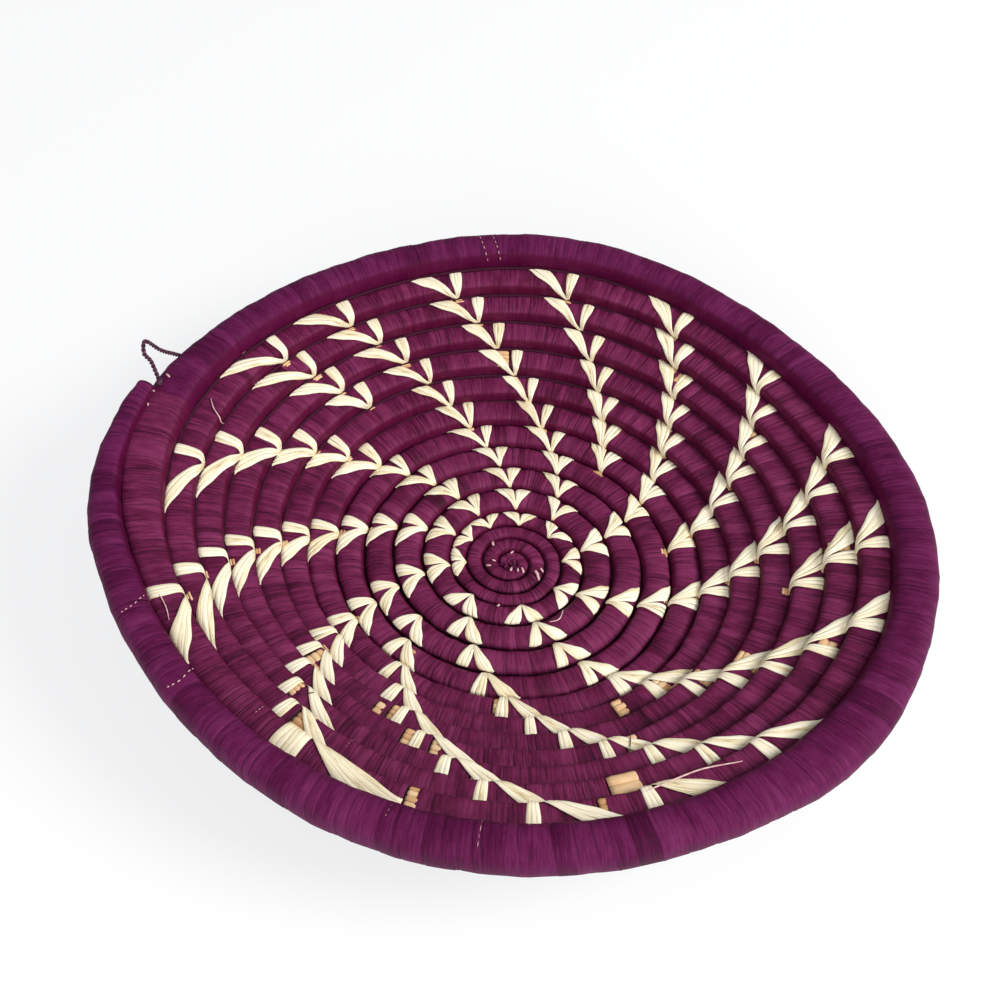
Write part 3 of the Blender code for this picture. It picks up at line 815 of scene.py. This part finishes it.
def build_centre():
    """The tuft that closes the middle of the coil."""
    heap = Heap()
    angles = np.linspace(-0.48 * math.pi, 0.48 * math.pi, TUFT_ROWS)[:, None]
    round_way = 2 * math.pi * np.arange(TUFT_COLUMNS)[None, :] / TUFT_COLUMNS
    swell = 1.0 + 0.07 * np.sin(5 * round_way + 3 * angles) + 0.05 * np.sin(9 * round_way - 4 * angles)
    x = AXIS_X + TUFT_RADIUS * np.cos(angles) * np.cos(round_way) * swell
    y = AXIS_Y + TUFT_RADIUS * np.cos(angles) * np.sin(round_way) * swell
    z = CENTRE_HEIGHT - TUFT_DROP + TUFT_HALF_HEIGHT * np.sin(angles) + (swell - 1.0)
    rings = together(x, y, z)
    # Painted shade in the creases of the tuft
    tuft_crease_shades = 0.35 + 0.5 * np.abs(np.sin(4 * round_way + 6 * angles))
    heap.add(rings, together(0.4, tuft_crease_shades, 0.0), rings)
    heap.build("centre_tuft", PURPLE)


def build_wrappings():
    first = round(LAST_TURN - FIRST_TURN)
    for index in range(first):
        start = FIRST_TURN + index
        if index == first - 1:
            piece = build_wrapping("rim_wrapping", start, LAST_TURN, SHADED_RIM_PURPLE)
            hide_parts("rim_wrap")
        else:
            title = "%02d" % (index + 1)
            piece = build_wrapping("wrapping_" + title, start, start + 1.0, PURPLE)
            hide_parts("wrap_round_" + title)


# Cream stitches: where a leg starts and ends round the section, and its shape
LEG_INNER_BASE = 0.345
LEG_INNER_WALL = 0.235
LEG_OUTER_BASE = 0.655
LEG_OUTER_WALL = 0.630
LEG_STATIONS = 21
STRIP_PROFILE = ((-0.5, 0.0), (-0.43, 0.85), (0.0, 1.0), (0.43, 0.85), (0.5, 0.0), (0.0, -0.25))
STRIP_THICKNESS = 0.17
BUNDLE_CROWN = 0.28
STITCH_LIFT = 0.16
LONG_LEG_LIFT = 0.12
LAST_LEG_LIFT = 0.3
LEG_WIDTH = 6.0
LEG_FIRST_WIDTH = 4.5
LEG_WIDTH_PER_ROW = 0.13
LEG_WIDTHS = (0.92, 1.1)
WIDE_LEG = 6.5
LEG_STRIPS = 3
WIDE_LEG_STRIPS = 5
STRIP_OVERLAP = 0.02
STRIP_UNEVEN = 0.07
STRIP_WOBBLE = 0.03
STRIP_WOBBLE_WAVES = (0.8, 2.2)
STRIP_STEP = 0.08
VERTEX_TAN = 0.8
VERTEX_TAN_SHARE = 0.12
SHORT_LEG_WIDTH_SHARE = 0.95
SHORT_LEG_NARROWING = 0.2
SHORT_LEG_NARROW_ROWS = 6.0
LEG_VERTEX_SHARE = 0.24
LONG_LEG_VERTEX_GAIN = 0.18
SHORT_LEG_VERTEX_GAIN = 0.45
LEG_OPENING = 0.75
LEG_TAPER_START = 0.6
LEAF_TAPER = 0.5
PETAL_TAPER = 0.1
LEAF_EASE = 0.4
LEG_TUCK = 0.02
LEG_SINK = 0.7
LEG_SINK_EDGE = 0.03
LONG_LEG_REACH = 7.0
LONG_LEG_PER_ROW = 1.15
LONG_LEG_BASE_CUT = 2.3
LONG_LEG_REACHES = (0.85, 1.15)
SHORT_LEG_REACHES = (0.7, 1.2)
SHORT_LEG_REACH = 0.8
SHORT_LEG_BASE_REACH = 3.3
BASE_ROWS = 1.8
LONG_LEG_MEAN_SHARE = 1.17
LONG_LEG_SWAY = 0.3
LONG_LEG_SWAY_ROWS = 8.0
LONG_LEG_SWAY_AZIMUTH = 35.0
LAST_ROW_GROWTH = 0.2
SHORT_LEG_RIGHT_LEAN = 4.0
SHORT_LEG_LEAN_AZIMUTH = -10.0
SPLAY_CHANCE = 0.3
SPLAY_MOST = 0.3

# The last arm ends in a wide wrap and a long leg in place of a V. Each has its row, azimuth, reach and width,
# whether it is a leaf, its share of the width at the vertex, where it is fully open and how far it narrows.
LAST_LEGS = (
    (10, -127.8, 0.5, 10.0, 0.0, 0.85, 0.3, 0.0),
    (10, -128.0, 42.0, 10.5, 1.0, 0.18, 0.8, 0.25),
)


def drift(row):
    return DRIFT_STEADY * row - DRIFT_EXTRA * DRIFT_ROWS * math.exp(-row / DRIFT_ROWS)


def arm_azimuth(arm, row):
    first, last, start, end, bow = arm
    if first == last:
        return start
    share = (drift(row) - drift(first)) / (drift(last) - drift(first))
    return start + (end - start) * share + 4.0 * bow * share * (1.0 - share)


def leg_ends(turn):
    """Places round the section where a stitch leaves the inner groove and enters the outer one."""
    lean = float(section_tilt(turn)) / (SECTION_LEVEL_SHARE * WALL_SLOPE)
    inner = LEG_INNER_BASE + (LEG_INNER_WALL - LEG_INNER_BASE) * lean
    outer = LEG_OUTER_BASE + (LEG_OUTER_WALL - LEG_OUTER_BASE) * lean
    return inner, outer


def add_leg(heap, turn, reach, leaf, width, lift, vertex_share, opening=LEG_OPENING, taper=0.0):
    """A ribbon of strips from the inner groove over the coil; a leaf ends pointed along the outer groove."""
    share = np.linspace(0.0, 1.0, LEG_STATIONS)
    whole = float(perimeter(turn))
    base = length_at(turn)
    inner, outer = leg_ends(turn)
    along = reach * share
    crossed = 1.0 - (1.0 - share) ** (1.0 + LEAF_EASE * leaf)
    across = (inner + (outer + LEG_TUCK - inner) * crossed) * whole
    tangent = unit(together(np.gradient(along), np.gradient(across)))
    side = together(tangent[:, 1], -tangent[:, 0])
    spread = vertex_share + (1.0 - vertex_share) * smooth(share / opening)
    spread = spread * (1.0 - taper * smooth((share - LEG_TAPER_START) / (1.0 - LEG_TAPER_START)))
    splay = RNG.uniform(0.0, SPLAY_MOST) if RNG.uniform() < SPLAY_CHANCE else 0.0
    fan = 1.0 + splay * share**2
    count = LEG_STRIPS if width < WIDE_LEG else WIDE_LEG_STRIPS
    edges = np.linspace(-0.5, 0.5, count + 1)
    edges[1:-1] += RNG.uniform(-STRIP_UNEVEN, STRIP_UNEVEN, count - 1)
    order = RNG.permutation(count)
    length = float(np.hypot(reach, across[-1] - across[0]))
    for number in range(count):
        low = edges[number] - STRIP_OVERLAP
        high = edges[number + 1] + STRIP_OVERLAP
        wobble = RNG.uniform(-STRIP_WOBBLE, STRIP_WOBBLE)
        wobble = wobble * np.sin(math.pi * share * RNG.uniform(*STRIP_WOBBLE_WAVES))
        shade = RNG.uniform(0.0, 1.0)
        height = lift + STRIP_STEP * order[number] / count
        tan = VERTEX_TAN * np.clip(1.0 - share / VERTEX_TAN_SHARE, 0, 1)
        rings = []
        looks = []
        lays = []
        for corner, rise in STRIP_PROFILE:
            place = ((low + high) / 2 * fan + wobble + (high - low) * corner) * width * spread
            crown = BUNDLE_CROWN * (1 - (2 * place / (width * spread * fan + 1e-6)) ** 2)
            offsets = side * place[:, None]
            turns = turn_at(base - along - offsets[:, 0])
            reached = (across + offsets[:, 1]) / whole
            sink = smooth((reached - outer + LEG_TUCK / 2) / LEG_SINK_EDGE)
            sink = sink + smooth((inner - reached) / LEG_TUCK)
            around = np.clip(reached, inner - LEG_TUCK, outer + LEG_TUCK)
            above = height + crown + rise * STRIP_THICKNESS - LEG_SINK * sink
            rings.append(coil_point(turns, *skin_point(turns, around, above)))
            # Painted shadow along the strip's two edges and its underside
            edge = 1.0 if rise <= 0.0 else 0.0
            looks.append(together(shade, edge, tan))
            lays.append(together(share * length + 40 * shade, place, 9.0 * number))
        heap.add(np.stack(rings, axis=1), np.stack(looks, axis=1), np.stack(lays, axis=1))


def build_stitches():
    for number, arm in enumerate(ARMS):
        heap = Heap()
        for row in range(arm[0], arm[1] + 1):
            turn = row_turn(row, arm_azimuth(arm, row))
            steps = max(row, 0)
            width = min(LEG_WIDTH, LEG_FIRST_WIDTH + LEG_WIDTH_PER_ROW * steps) * RNG.uniform(*LEG_WIDTHS)
            azimuth = math.radians(arm_azimuth(arm, row))
            base = math.exp(-steps / BASE_ROWS)
            sway = math.cos(azimuth - math.radians(LONG_LEG_SWAY_AZIMUTH))
            grown = min(1.0, steps / LONG_LEG_SWAY_ROWS)
            stretch = 1.0 + (LONG_LEG_MEAN_SHARE - 1.0 - LONG_LEG_SWAY * sway) * grown
            if row == LAST_ROW:
                stretch = stretch + LAST_ROW_GROWTH * max(0.0, -math.cos(azimuth))
            long_reach = (LONG_LEG_REACH + LONG_LEG_PER_ROW * steps) * stretch - LONG_LEG_BASE_CUT * base
            right = max(0.0, math.cos(azimuth - math.radians(SHORT_LEG_LEAN_AZIMUTH))) ** 2 * (1.0 - base)
            short_reach = SHORT_LEG_RIGHT_LEAN * right - SHORT_LEG_REACH - SHORT_LEG_BASE_REACH * base
            narrowed = SHORT_LEG_NARROWING * min(1.0, steps / SHORT_LEG_NARROW_ROWS)
            short_width = width * (SHORT_LEG_WIDTH_SHARE - narrowed)
            petal = PETAL_TAPER * base
            leaf = 1.0 - base
            long_taper = petal + LEAF_TAPER * leaf
            short_reach = short_reach * RNG.uniform(*SHORT_LEG_REACHES)
            long_reach = long_reach * RNG.uniform(*LONG_LEG_REACHES)
            if arm is ARMS[-1] and row == arm[1]:
                continue
            front = leaf * (1.0 - max(0.0, math.sin(azimuth)) ** 2) * (1.0 - max(0.0, math.cos(azimuth)) ** 2)
            short_vertex = LEG_VERTEX_SHARE + SHORT_LEG_VERTEX_GAIN * front
            long_vertex = LEG_VERTEX_SHARE + LONG_LEG_VERTEX_GAIN * front
            add_leg(heap, turn, short_reach, 0.0, short_width, STITCH_LIFT, short_vertex, taper=petal)
            lift = STITCH_LIFT + LONG_LEG_LIFT
            add_leg(heap, turn, long_reach, leaf, width, lift, long_vertex, taper=long_taper)
        if arm is ARMS[-1]:
            for row, azimuth, reach, width, leaf, vertex_share, opening, taper in LAST_LEGS:
                lift = STITCH_LIFT + LAST_LEG_LIFT
                add_leg(heap, row_turn(row, azimuth), reach, leaf, width, lift, vertex_share, opening, taper)
        piece = heap.build("stitches_%02d" % (number + 1), CREAM)
        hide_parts("stitch_arm_%02d" % (number + 1))


# Stalks that show between the strips
STALK_SIDES = 10
STALK_HALF_WIDTH = 1.15
STALK_HALF_HEIGHT = 0.5
STALK_STATIONS = 7
STALK_DIP = 0.45
STALK_LEVEL = -0.45
STALK_UNEVEN = 0.12
STALK_END_REACH = 0.3
STALK_SPACING = 2.1 * STALK_HALF_WIDTH
STALK_COVER = 0.52
BIT_HALF_WIDTH = 0.5
BIT_WIDTHS = (0.8, 1.2)
BIT_HALF_LENGTHS = (1.0, 2.2)
BIT_SHIFTS = (-1.2, 0.6)
BIT_START = 0.012
BIT_SPACING = 0.028
BIT_LEVEL = -0.12
BIT_FIRST_ROW = 4
BIT_CHANCE = 0.85


def add_stalk(heap, start, end, around, lift, half_width):
    """A short flat stalk along the coil, whose ends dip under the wrapping."""
    share = np.linspace(0.0, 1.0, STALK_STATIONS)
    length = start + (end - start) * share
    turns = turn_at(length)
    dip = np.where((share == 0.0) | (share == 1.0), -STALK_DIP, 0.0)
    shade = RNG.uniform(0.0, 1.0)
    rings = []
    lays = []
    for angle in 2 * math.pi * np.arange(STALK_SIDES) / STALK_SIDES:
        places = around + half_width * math.cos(angle) / perimeter(turns)
        rise = lift + dip + STALK_HALF_HEIGHT * math.sin(angle)
        rings.append(coil_point(turns, *skin_point(turns, places, rise)))
        lays.append(together(length, around * 30 + math.cos(angle), 9 * shade))
    heap.add(np.stack(rings, axis=1), np.array((shade, 0.0, 0.0)), np.stack(lays, axis=1))


def build_stalks():
    heap = Heap()
    for patch in BARE_PATCHES:
        low, high = patch_range(patch)
        row, azimuth, width, inner, outer = patch
        whole = float(perimeter(row_turn(row, azimuth)))
        count = 2
        if width < WIDE_PATCH:
            count = max(2, round((outer - inner) * whole / STALK_SPACING))
        step = (outer - inner) / count
        for number in range(count):
            half_width = step * whole * STALK_COVER
            place = inner + step * (number + 0.5)
            lift = STALK_LEVEL + RNG.uniform(-STALK_UNEVEN, STALK_UNEVEN)
            add_stalk(heap, low - STALK_END_REACH, high + STALK_END_REACH, place, lift, half_width)
    for arm in ARMS:
        for row in range(max(arm[0], BIT_FIRST_ROW), arm[1] + 1):
            if RNG.uniform() > BIT_CHANCE:
                continue
            turn = row_turn(row, arm_azimuth(arm, row)) - 1.0
            middle = length_at(turn) + RNG.uniform(*BIT_SHIFTS)
            _, outer = leg_ends(turn)
            for step in range(RNG.integers(2, 4)):
                half = RNG.uniform(*BIT_HALF_LENGTHS)
                place = outer - BIT_START - BIT_SPACING * step
                half_width = BIT_HALF_WIDTH * RNG.uniform(*BIT_WIDTHS)
                add_stalk(heap, middle - half, middle + half, place, BIT_LEVEL, half_width)
    heap.build("stalk_ends", STALKS)


# Hanging loop: places where it bends, along the line of its knots and up from it, and its two plies
LOOP_BENDS = ((-0.3, 5.5), (-0.8, 9.3), (-2.7, 13.2), (0.4, 16.5), (7.0, 9.9), (14.0, 5.0))
LOOP_STEPS = 18
LOOP_LEAN = math.radians(68.0)
KNOT_RADIUS = 2.2
KNOT_OVERLAP = 0.4
PLY_RADIUS = 0.45
PLY_OFFSET = 0.42
PLY_LAY = 3.2
KNOT_SCALE = 0.47
KNOT_CORD_RADIUS = 0.62
KNOT_STATIONS = 90


def tube(heap, path, radius, sides=7, look=(0.5, 0.0, 0.0)):
    """A round strand along a path. The radius is one number, or one for each point of the path."""
    ahead = unit(np.gradient(path, axis=0))
    radius = np.broadcast_to(radius, len(path))
    normal = np.array((0.0, 0.0, 1.0) if abs(ahead[0][2]) < 0.9 else (1.0, 0.0, 0.0))
    angles = 2 * math.pi * np.arange(sides) / sides
    rings = []
    for point, way, size in zip(path, ahead, radius):
        normal = normal - way * float(normal @ way)
        normal = normal / np.linalg.norm(normal)
        other = np.cross(way, normal)
        rings.append(point + (np.outer(np.cos(angles), normal) + np.outer(np.sin(angles), other)) * size)
    heap.add(np.array(rings), np.array(look), together(walked(path), 0.0, 0.0)[:, None, :])


def smooth_path(bends, steps):
    """Points on a smooth curve through the bends, with this many steps from each to the next."""
    points = []
    for index in range(len(bends) - 1):
        start = bends[index]
        end = bends[index + 1]
        before = bends[max(index - 1, 0)]
        after = bends[min(index + 2, len(bends) - 1)]
        for step in range(steps):
            share = step / steps
            lean_out = (end - before) / 2 * share * (1.0 - share) ** 2
            lean_in = (after - start) / 2 * share ** 2 * (share - 1.0)
            along = start * (1.0 - share) ** 2 * (1.0 + 2.0 * share)
            points.append(along + end * share ** 2 * (3.0 - 2.0 * share) + lean_out + lean_in)
    return points + [bends[-1]]


def box_middle(node):
    low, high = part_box(node)
    return (np.array(low) + np.array(high)) / 2 / MM


def build_loop():
    """The cord of the hanging loop, twisted of two plies, and the knot at each end of it."""
    left = box_middle("loop_knot_left")
    right = box_middle("loop_knot_right")
    span = float(np.linalg.norm(right - left))
    across = (right - left) / span
    middle = (left + right) / 2
    radial = middle - np.array((AXIS_X, AXIS_Y, middle[2]))
    radial = radial - across * float(radial @ across)
    radial = radial / np.linalg.norm(radial)
    upright = np.cross(radial, across)
    if upright[2] < 0:
        upright = -upright
    rise = radial * math.cos(LOOP_LEAN) + upright * math.sin(LOOP_LEAN)
    flat = np.cross(across, rise)
    clear = KNOT_RADIUS - KNOT_OVERLAP
    bends = [np.array(bend) for bend in LOOP_BENDS]
    right_knot = np.array((span, 0.0))
    away = bends[-1] - right_knot
    leave = bends[0] * clear / np.linalg.norm(bends[0])
    arrive = right_knot + away * clear / np.linalg.norm(away)
    flat_path = np.array(smooth_path([leave] + bends + [arrive], LOOP_STEPS))
    path = left + np.outer(flat_path[:, 0], across) + np.outer(flat_path[:, 1], rise)
    sideways = np.cross(unit(np.gradient(path, axis=0)), flat)
    heap = Heap()
    for ply in (0.0, math.pi):
        twist = 2 * math.pi * walked(path) / PLY_LAY + ply
        offset = np.cos(twist)[:, None] * flat + np.sin(twist)[:, None] * sideways
        tube(heap, path + offset * PLY_OFFSET, PLY_RADIUS)
    cord = heap.build("loop_cord", DARK_CORD, "loop")
    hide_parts("hanging_loop")
    angles = np.linspace(0.0, 2 * math.pi, KNOT_STATIONS)
    x = np.sin(angles) + 2 * np.sin(2 * angles)
    y = np.cos(angles) - 2 * np.cos(2 * angles)
    knot = together(x, y, -np.sin(3 * angles))
    for node, centre in (("loop_knot_left", left), ("loop_knot_right", right)):
        heap = Heap()
        tube(heap, centre + KNOT_SCALE * knot @ np.stack((across, rise, flat)), KNOT_CORD_RADIUS)
        piece = heap.build(node + "_tied", DARK_CORD)
        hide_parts(node)


# Loose fibres on the surface: places along them as turn and share round the section, radius, and dashes
PALE_STRANDS = (
    (((13.565, 0.53), (13.560, 0.44), (13.557, 0.33), (13.559, 0.24)), 0.24, 1),
    (((5.178, 0.44), (5.160, 0.46), (5.140, 0.38)), 0.22, 1),
    (((14.193, 0.43), (14.181, 0.40), (14.166, 0.40), (14.150, 0.50)), 0.3, 1),
    (((14.736, 0.60), (14.738, 0.45), (14.740, 0.30)), 0.17, 6),
    (((14.743, 0.58), (14.745, 0.45), (14.747, 0.31)), 0.17, 6),
    (((15.262, 0.36), (15.263, 0.58)), 0.13, 5),
    (((15.298, 0.38), (15.299, 0.52)), 0.13, 4),
    (((15.447, 0.39), (15.443, 0.52), (15.442, 0.61)), 0.20, 6),
    (((15.407, 0.35), (15.403, 0.52), (15.404, 0.62)), 0.26, 6),
    (((14.376, 0.42), (14.376, 0.52)), 0.15, 3),
    (((14.453, 0.57), (14.449, 0.55), (14.443, 0.55), (14.437, 0.57)), 0.22, 1),
    (((13.333, 0.36), (13.334, 0.50)), 0.14, 4),
)
DARK_STRANDS = (
    (((11.179, 0.38), (11.181, 0.46), (11.184, 0.55)), 0.2, 1),
    (((10.085, 0.46), (10.087, 0.56), (10.090, 0.64)), 0.2, 1),
    (((12.371, 0.40), (12.373, 0.45), (12.376, 0.50)), 0.2, 1),
)
FLECKS = (
    (14.562, 0.57, 1.5), (14.553, 0.60, 1.2), (15.546, 0.30, 1.1), (1.639, 0.60, 1.8), (1.454, 0.58, 1.3),
    (1.492, 0.45, 1.1), (0.781, 0.56, 1.2), (1.233, 0.42, 1.6), (1.121, 0.57, 1.5), (2.090, 0.54, 1.8),
    (2.103, 0.60, 1.6), (4.283, 0.40, 1.3), (1.160, 0.50, 1.2), (2.060, 0.60, 1.3),
)
STRAND_LIFT = 0.2
DARK_STRAND_LIFT = 0.75
STRAND_STEPS = 12
STRAND_SIDES = 6
STRAND_TIP = 0.35
DASH_SHARE = 0.62
FLECK_RADIUS_SHARE = 0.3
FLECK_SLANT_SHARE = 0.3


def add_strand(heap, places, radius, dashes, lift=STRAND_LIFT):
    """A thin strand lying on the wrapping, whole or in dashes."""
    bends = [np.array((length_at(turn), around)) for turn, around in places]
    path = np.array(smooth_path(bends, STRAND_STEPS))
    dash_share = DASH_SHARE if dashes > 1 else 1.0
    for dash in range(dashes):
        first = int(dash * (len(path) - 1) / dashes)
        last = int((dash + dash_share) * (len(path) - 1) / dashes)
        part = path[first:last + 1]
        turns = turn_at(part[:, 0])
        share = np.linspace(0.0, 1.0, len(part))
        thin = radius * (STRAND_TIP + (1.0 - STRAND_TIP) * np.sin(math.pi * share) ** 0.5)
        tube(heap, coil_point(turns, *skin_point(turns, part[:, 1], lift + radius)), thin, STRAND_SIDES)


def build_strands():
    pale = Heap()
    for places, radius, dashes in PALE_STRANDS:
        add_strand(pale, places, radius, dashes)
    for turn, around, size in FLECKS:
        reach = size / float(perimeter(turn)) / 2
        step = size * FLECK_SLANT_SHARE
        middle = length_at(turn)
        places = ((turn_at(middle - step), around - reach), (turn_at(middle + step), around + reach))
        add_strand(pale, places, size * FLECK_RADIUS_SHARE, 1)
    pale.build("loose_fibres", PALE_FIBRE)
    dark = Heap()
    for places, radius, dashes in DARK_STRANDS:
        add_strand(dark, places, radius, dashes, DARK_STRAND_LIFT)
    dark.build("dark_ties", DARK_CORD)


# Binding down in the groove between the turns, and the tangle in the middle
BINDING_RADIUS = 0.8
BINDING_START = 1.7
BINDING_STEP = 2.0
BINDING_SIDES = 8
BINDING_FLAT_SHARE = 1.02
BINDING_TALL_SHARE = 0.15
THREADS = 16
THREAD_REACH = 4.6
THREAD_REACHES = (0.3, 1.0)
THREAD_RADII = (0.22, 0.42)
THREAD_STATIONS = 12
THREAD_BEND = 1.2
THREAD_LIFT = 1.0
THREAD_RISES = (0.2, 0.9)
THREAD_SHADES = (0.2, 0.9)
THREAD_CREASES = (0.0, 0.5)


def build_binding():
    """Raffia low in the groove, so that the gap between two turns is closed, darkened with painted shade."""
    stations = np.arange(length_at(BINDING_START), length_at(LAST_TURN) - 1.0, BINDING_STEP)
    turns = turn_at(stations)
    half = coil_width(turns) / 2
    place = untilted(-half * BINDING_FLAT_SHARE, -half * BINDING_TALL_SHARE, section_tilt(turns))
    heap = Heap()
    # Painted shade: the binding is darkened as it lies deep in the groove
    tube(heap, coil_point(turns, *place), BINDING_RADIUS, BINDING_SIDES, look=(0.3, 0.7, 0.0))
    heap.build("seam_binding", PURPLE)


def build_threads():
    """Threads crossing one another over the middle of the coil."""
    heap = Heap()
    share = np.linspace(0.0, 1.0, THREAD_STATIONS)
    for _ in range(THREADS):
        start, end = RNG.uniform(0.0, 2 * math.pi, 2)
        first = RNG.uniform(*THREAD_REACHES) * THREAD_REACH
        last = RNG.uniform(*THREAD_REACHES) * THREAD_REACH
        bend = RNG.uniform(-THREAD_BEND, THREAD_BEND) * np.sin(math.pi * share)
        x = AXIS_X + first * math.cos(start) * (1 - share) + last * math.cos(end) * share + bend
        y = AXIS_Y + first * math.sin(start) * (1 - share) + last * math.sin(end) * share - bend
        z = CENTRE_HEIGHT + THREAD_LIFT + RNG.uniform(*THREAD_RISES) * np.sin(math.pi * share)
        radius = RNG.uniform(*THREAD_RADII)
        look = (RNG.uniform(*THREAD_SHADES), RNG.uniform(*THREAD_CREASES), 0.0)
        tube(heap, together(x, y, z), radius, STRAND_SIDES, look)
    heap.build("centre_tangle", PURPLE)


# Stalk bundle inside the wrapping
CORE_SHARE = 0.68
CORE_STEP = 3.0
CORE_SIDES = 12


def build_core():
    """The bundle of stalks, kept inside the wrapping where the coil is pushed out or pulled in."""
    stations = np.arange(length_at(FIRST_TURN) + 1.0, length_at(LAST_TURN) - 1.0, CORE_STEP)
    turns = turn_at(stations)[:, None]
    angles = 2 * math.pi * np.arange(CORE_SIDES)[None, :] / CORE_SIDES
    outer_shift, inner_shift = groove_shift(turns)
    outer_shift = outer_shift - loop_room(turns)
    half = (coil_width(turns) - inner_shift) / 2 * CORE_SHARE
    outward = half * np.cos(angles) + (outer_shift + inner_shift) / 2
    upward = half * np.sin(angles)
    rings = coil_point(turns, outward, upward)
    heap = Heap()
    heap.add(rings, np.array((0.5, 0.0, 0.0)), together(stations[:, None], outward, upward))
    core = heap.build("stalk_bundle", STALKS)
    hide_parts("stalk_core")


# Camera of the photograph: focal length in pixels, distance in millimetres, tilt and roll in radians, and
# the pixel where the coil's middle lands
IMAGE_SIZE = 1000.0
FOCAL_PIXELS = 1400.0
SENSOR_MM = 36.0
CAMERA_DISTANCE = 523.9
CAMERA_TILT = 0.985
CAMERA_ROLL = -0.012
TARGET_PIXEL = (510.0, 564.2)


def place_camera():
    """The camera, tilted down and rolled, and turned so that the coil's middle lands on its pixel."""
    back = np.array((0.0, -math.cos(CAMERA_TILT), math.sin(CAMERA_TILT)))
    right = np.array((1.0, 0.0, 0.0))
    up = np.cross(back, right)
    rolled_right = right * math.cos(CAMERA_ROLL) + up * math.sin(CAMERA_ROLL)
    rolled_up = up * math.cos(CAMERA_ROLL) - right * math.sin(CAMERA_ROLL)
    looking = np.stack((rolled_right, rolled_up, back))
    middle = IMAGE_SIZE / 2
    aside, down = ((pixel - middle) / FOCAL_PIXELS for pixel in TARGET_PIXEL)
    aim = np.array((aside, -down, -1.0))
    aim = aim / np.linalg.norm(aim)
    ahead = np.array((0.0, 0.0, -1.0))
    axis = np.cross(ahead, aim)
    sine = float(np.linalg.norm(axis))
    turn = Matrix.Rotation(math.atan2(sine, float(ahead @ aim)), 3, axis / sine)
    axes = (np.array(turn) @ looking).T
    target = np.array((AXIS_X, AXIS_Y, CENTRE_HEIGHT))
    position = (target + back * CAMERA_DISTANCE) * MM
    data = bpy.data.cameras.new("camera")
    data.sensor_width = SENSOR_MM
    data.lens = FOCAL_PIXELS * SENSOR_MM / IMAGE_SIZE
    data.clip_start = 0.01
    data.clip_end = 20.0
    camera = place_in_scene("camera", data)
    matrix = np.eye(4)
    matrix[:3, :3] = axes
    matrix[:3, 3] = position
    camera.matrix_world = Matrix(matrix.tolist())
    bpy.context.scene.camera = camera


# Floor, in metres, and room
FLOOR_HALF_SIZE = 3.0
FLOOR_COLOUR = (0.90, 0.91, 0.93)
FLOOR_GLOW = (0.985, 0.99, 1.0)
FLOOR_GLOW_SHARE = 0.74
WORLD_STRENGTH = 0.46

# Lights: name, place and width in metres, power in watts, and colour
LIGHTS = (
    ("key", (1.4, -0.35, 1.2), 0.8, 30.0, (1.0, 0.985, 0.96)),
    ("fill", (-0.1, -1.25, 0.85), 0.7, 10.0, (1.0, 0.99, 0.98)),
)


def place_light(name, location, size, power, colour):
    """A round soft light aimed at the origin."""
    data = bpy.data.lights.new(name, "AREA")
    data.shape = "DISK"
    data.size = size
    data.energy = power
    data.color = colour
    light = place_in_scene(name, data)
    light.location = location
    direction = -light.location.normalized()
    light.rotation_euler = direction.to_track_quat("-Z", "Y").to_euler()


def build_stage():
    """A pale floor that glows where the camera sees it, two soft lights and a bright room."""
    mesh = bpy.data.meshes.new("floor")
    size = FLOOR_HALF_SIZE
    corners = [(-size, -size, 0.0), (size, -size, 0.0), (size, size, 0.0), (-size, size, 0.0)]
    mesh.from_pydata(corners, [], [(0, 1, 2, 3)])
    s = Shader("floor_paper")
    s.surface.inputs["Base Color"].default_value = (*FLOOR_COLOUR, 1.0)
    s.surface.inputs["Roughness"].default_value = 0.9
    s.surface.inputs["Specular IOR Level"].default_value = 0.1
    glow = s.node("ShaderNodeEmission")
    glow.inputs["Color"].default_value = (*FLOOR_GLOW, 1.0)
    seen = s.node("ShaderNodeLightPath").outputs["Is Camera Ray"]
    mixed = s.node("ShaderNodeMixShader")
    s.link(s.maths("MULTIPLY", seen, FLOOR_GLOW_SHARE), mixed.inputs[0])
    s.link(s.surface.outputs[0], mixed.inputs[1])
    s.link(glow.outputs[0], mixed.inputs[2])
    s.link(mixed.outputs[0], s.tree.nodes["Material Output"].inputs["Surface"])
    mesh.materials.append(s.material)
    place_in_scene("floor", mesh)
    world = bpy.data.worlds.new("studio")
    world.use_nodes = True
    background = world.node_tree.nodes["Background"]
    background.inputs["Color"].default_value = (1.0, 1.0, 1.0, 1.0)
    background.inputs["Strength"].default_value = WORLD_STRENGTH
    bpy.context.scene.world = world
    for light in LIGHTS:
        place_light(*light)


place_camera()
build_wrappings()
build_centre()
build_stitches()
build_stalks()
build_loop()
build_strands()
build_binding()
build_threads()
build_core()
build_stage()
bpy.context.scene.view_settings.view_transform = "Standard"
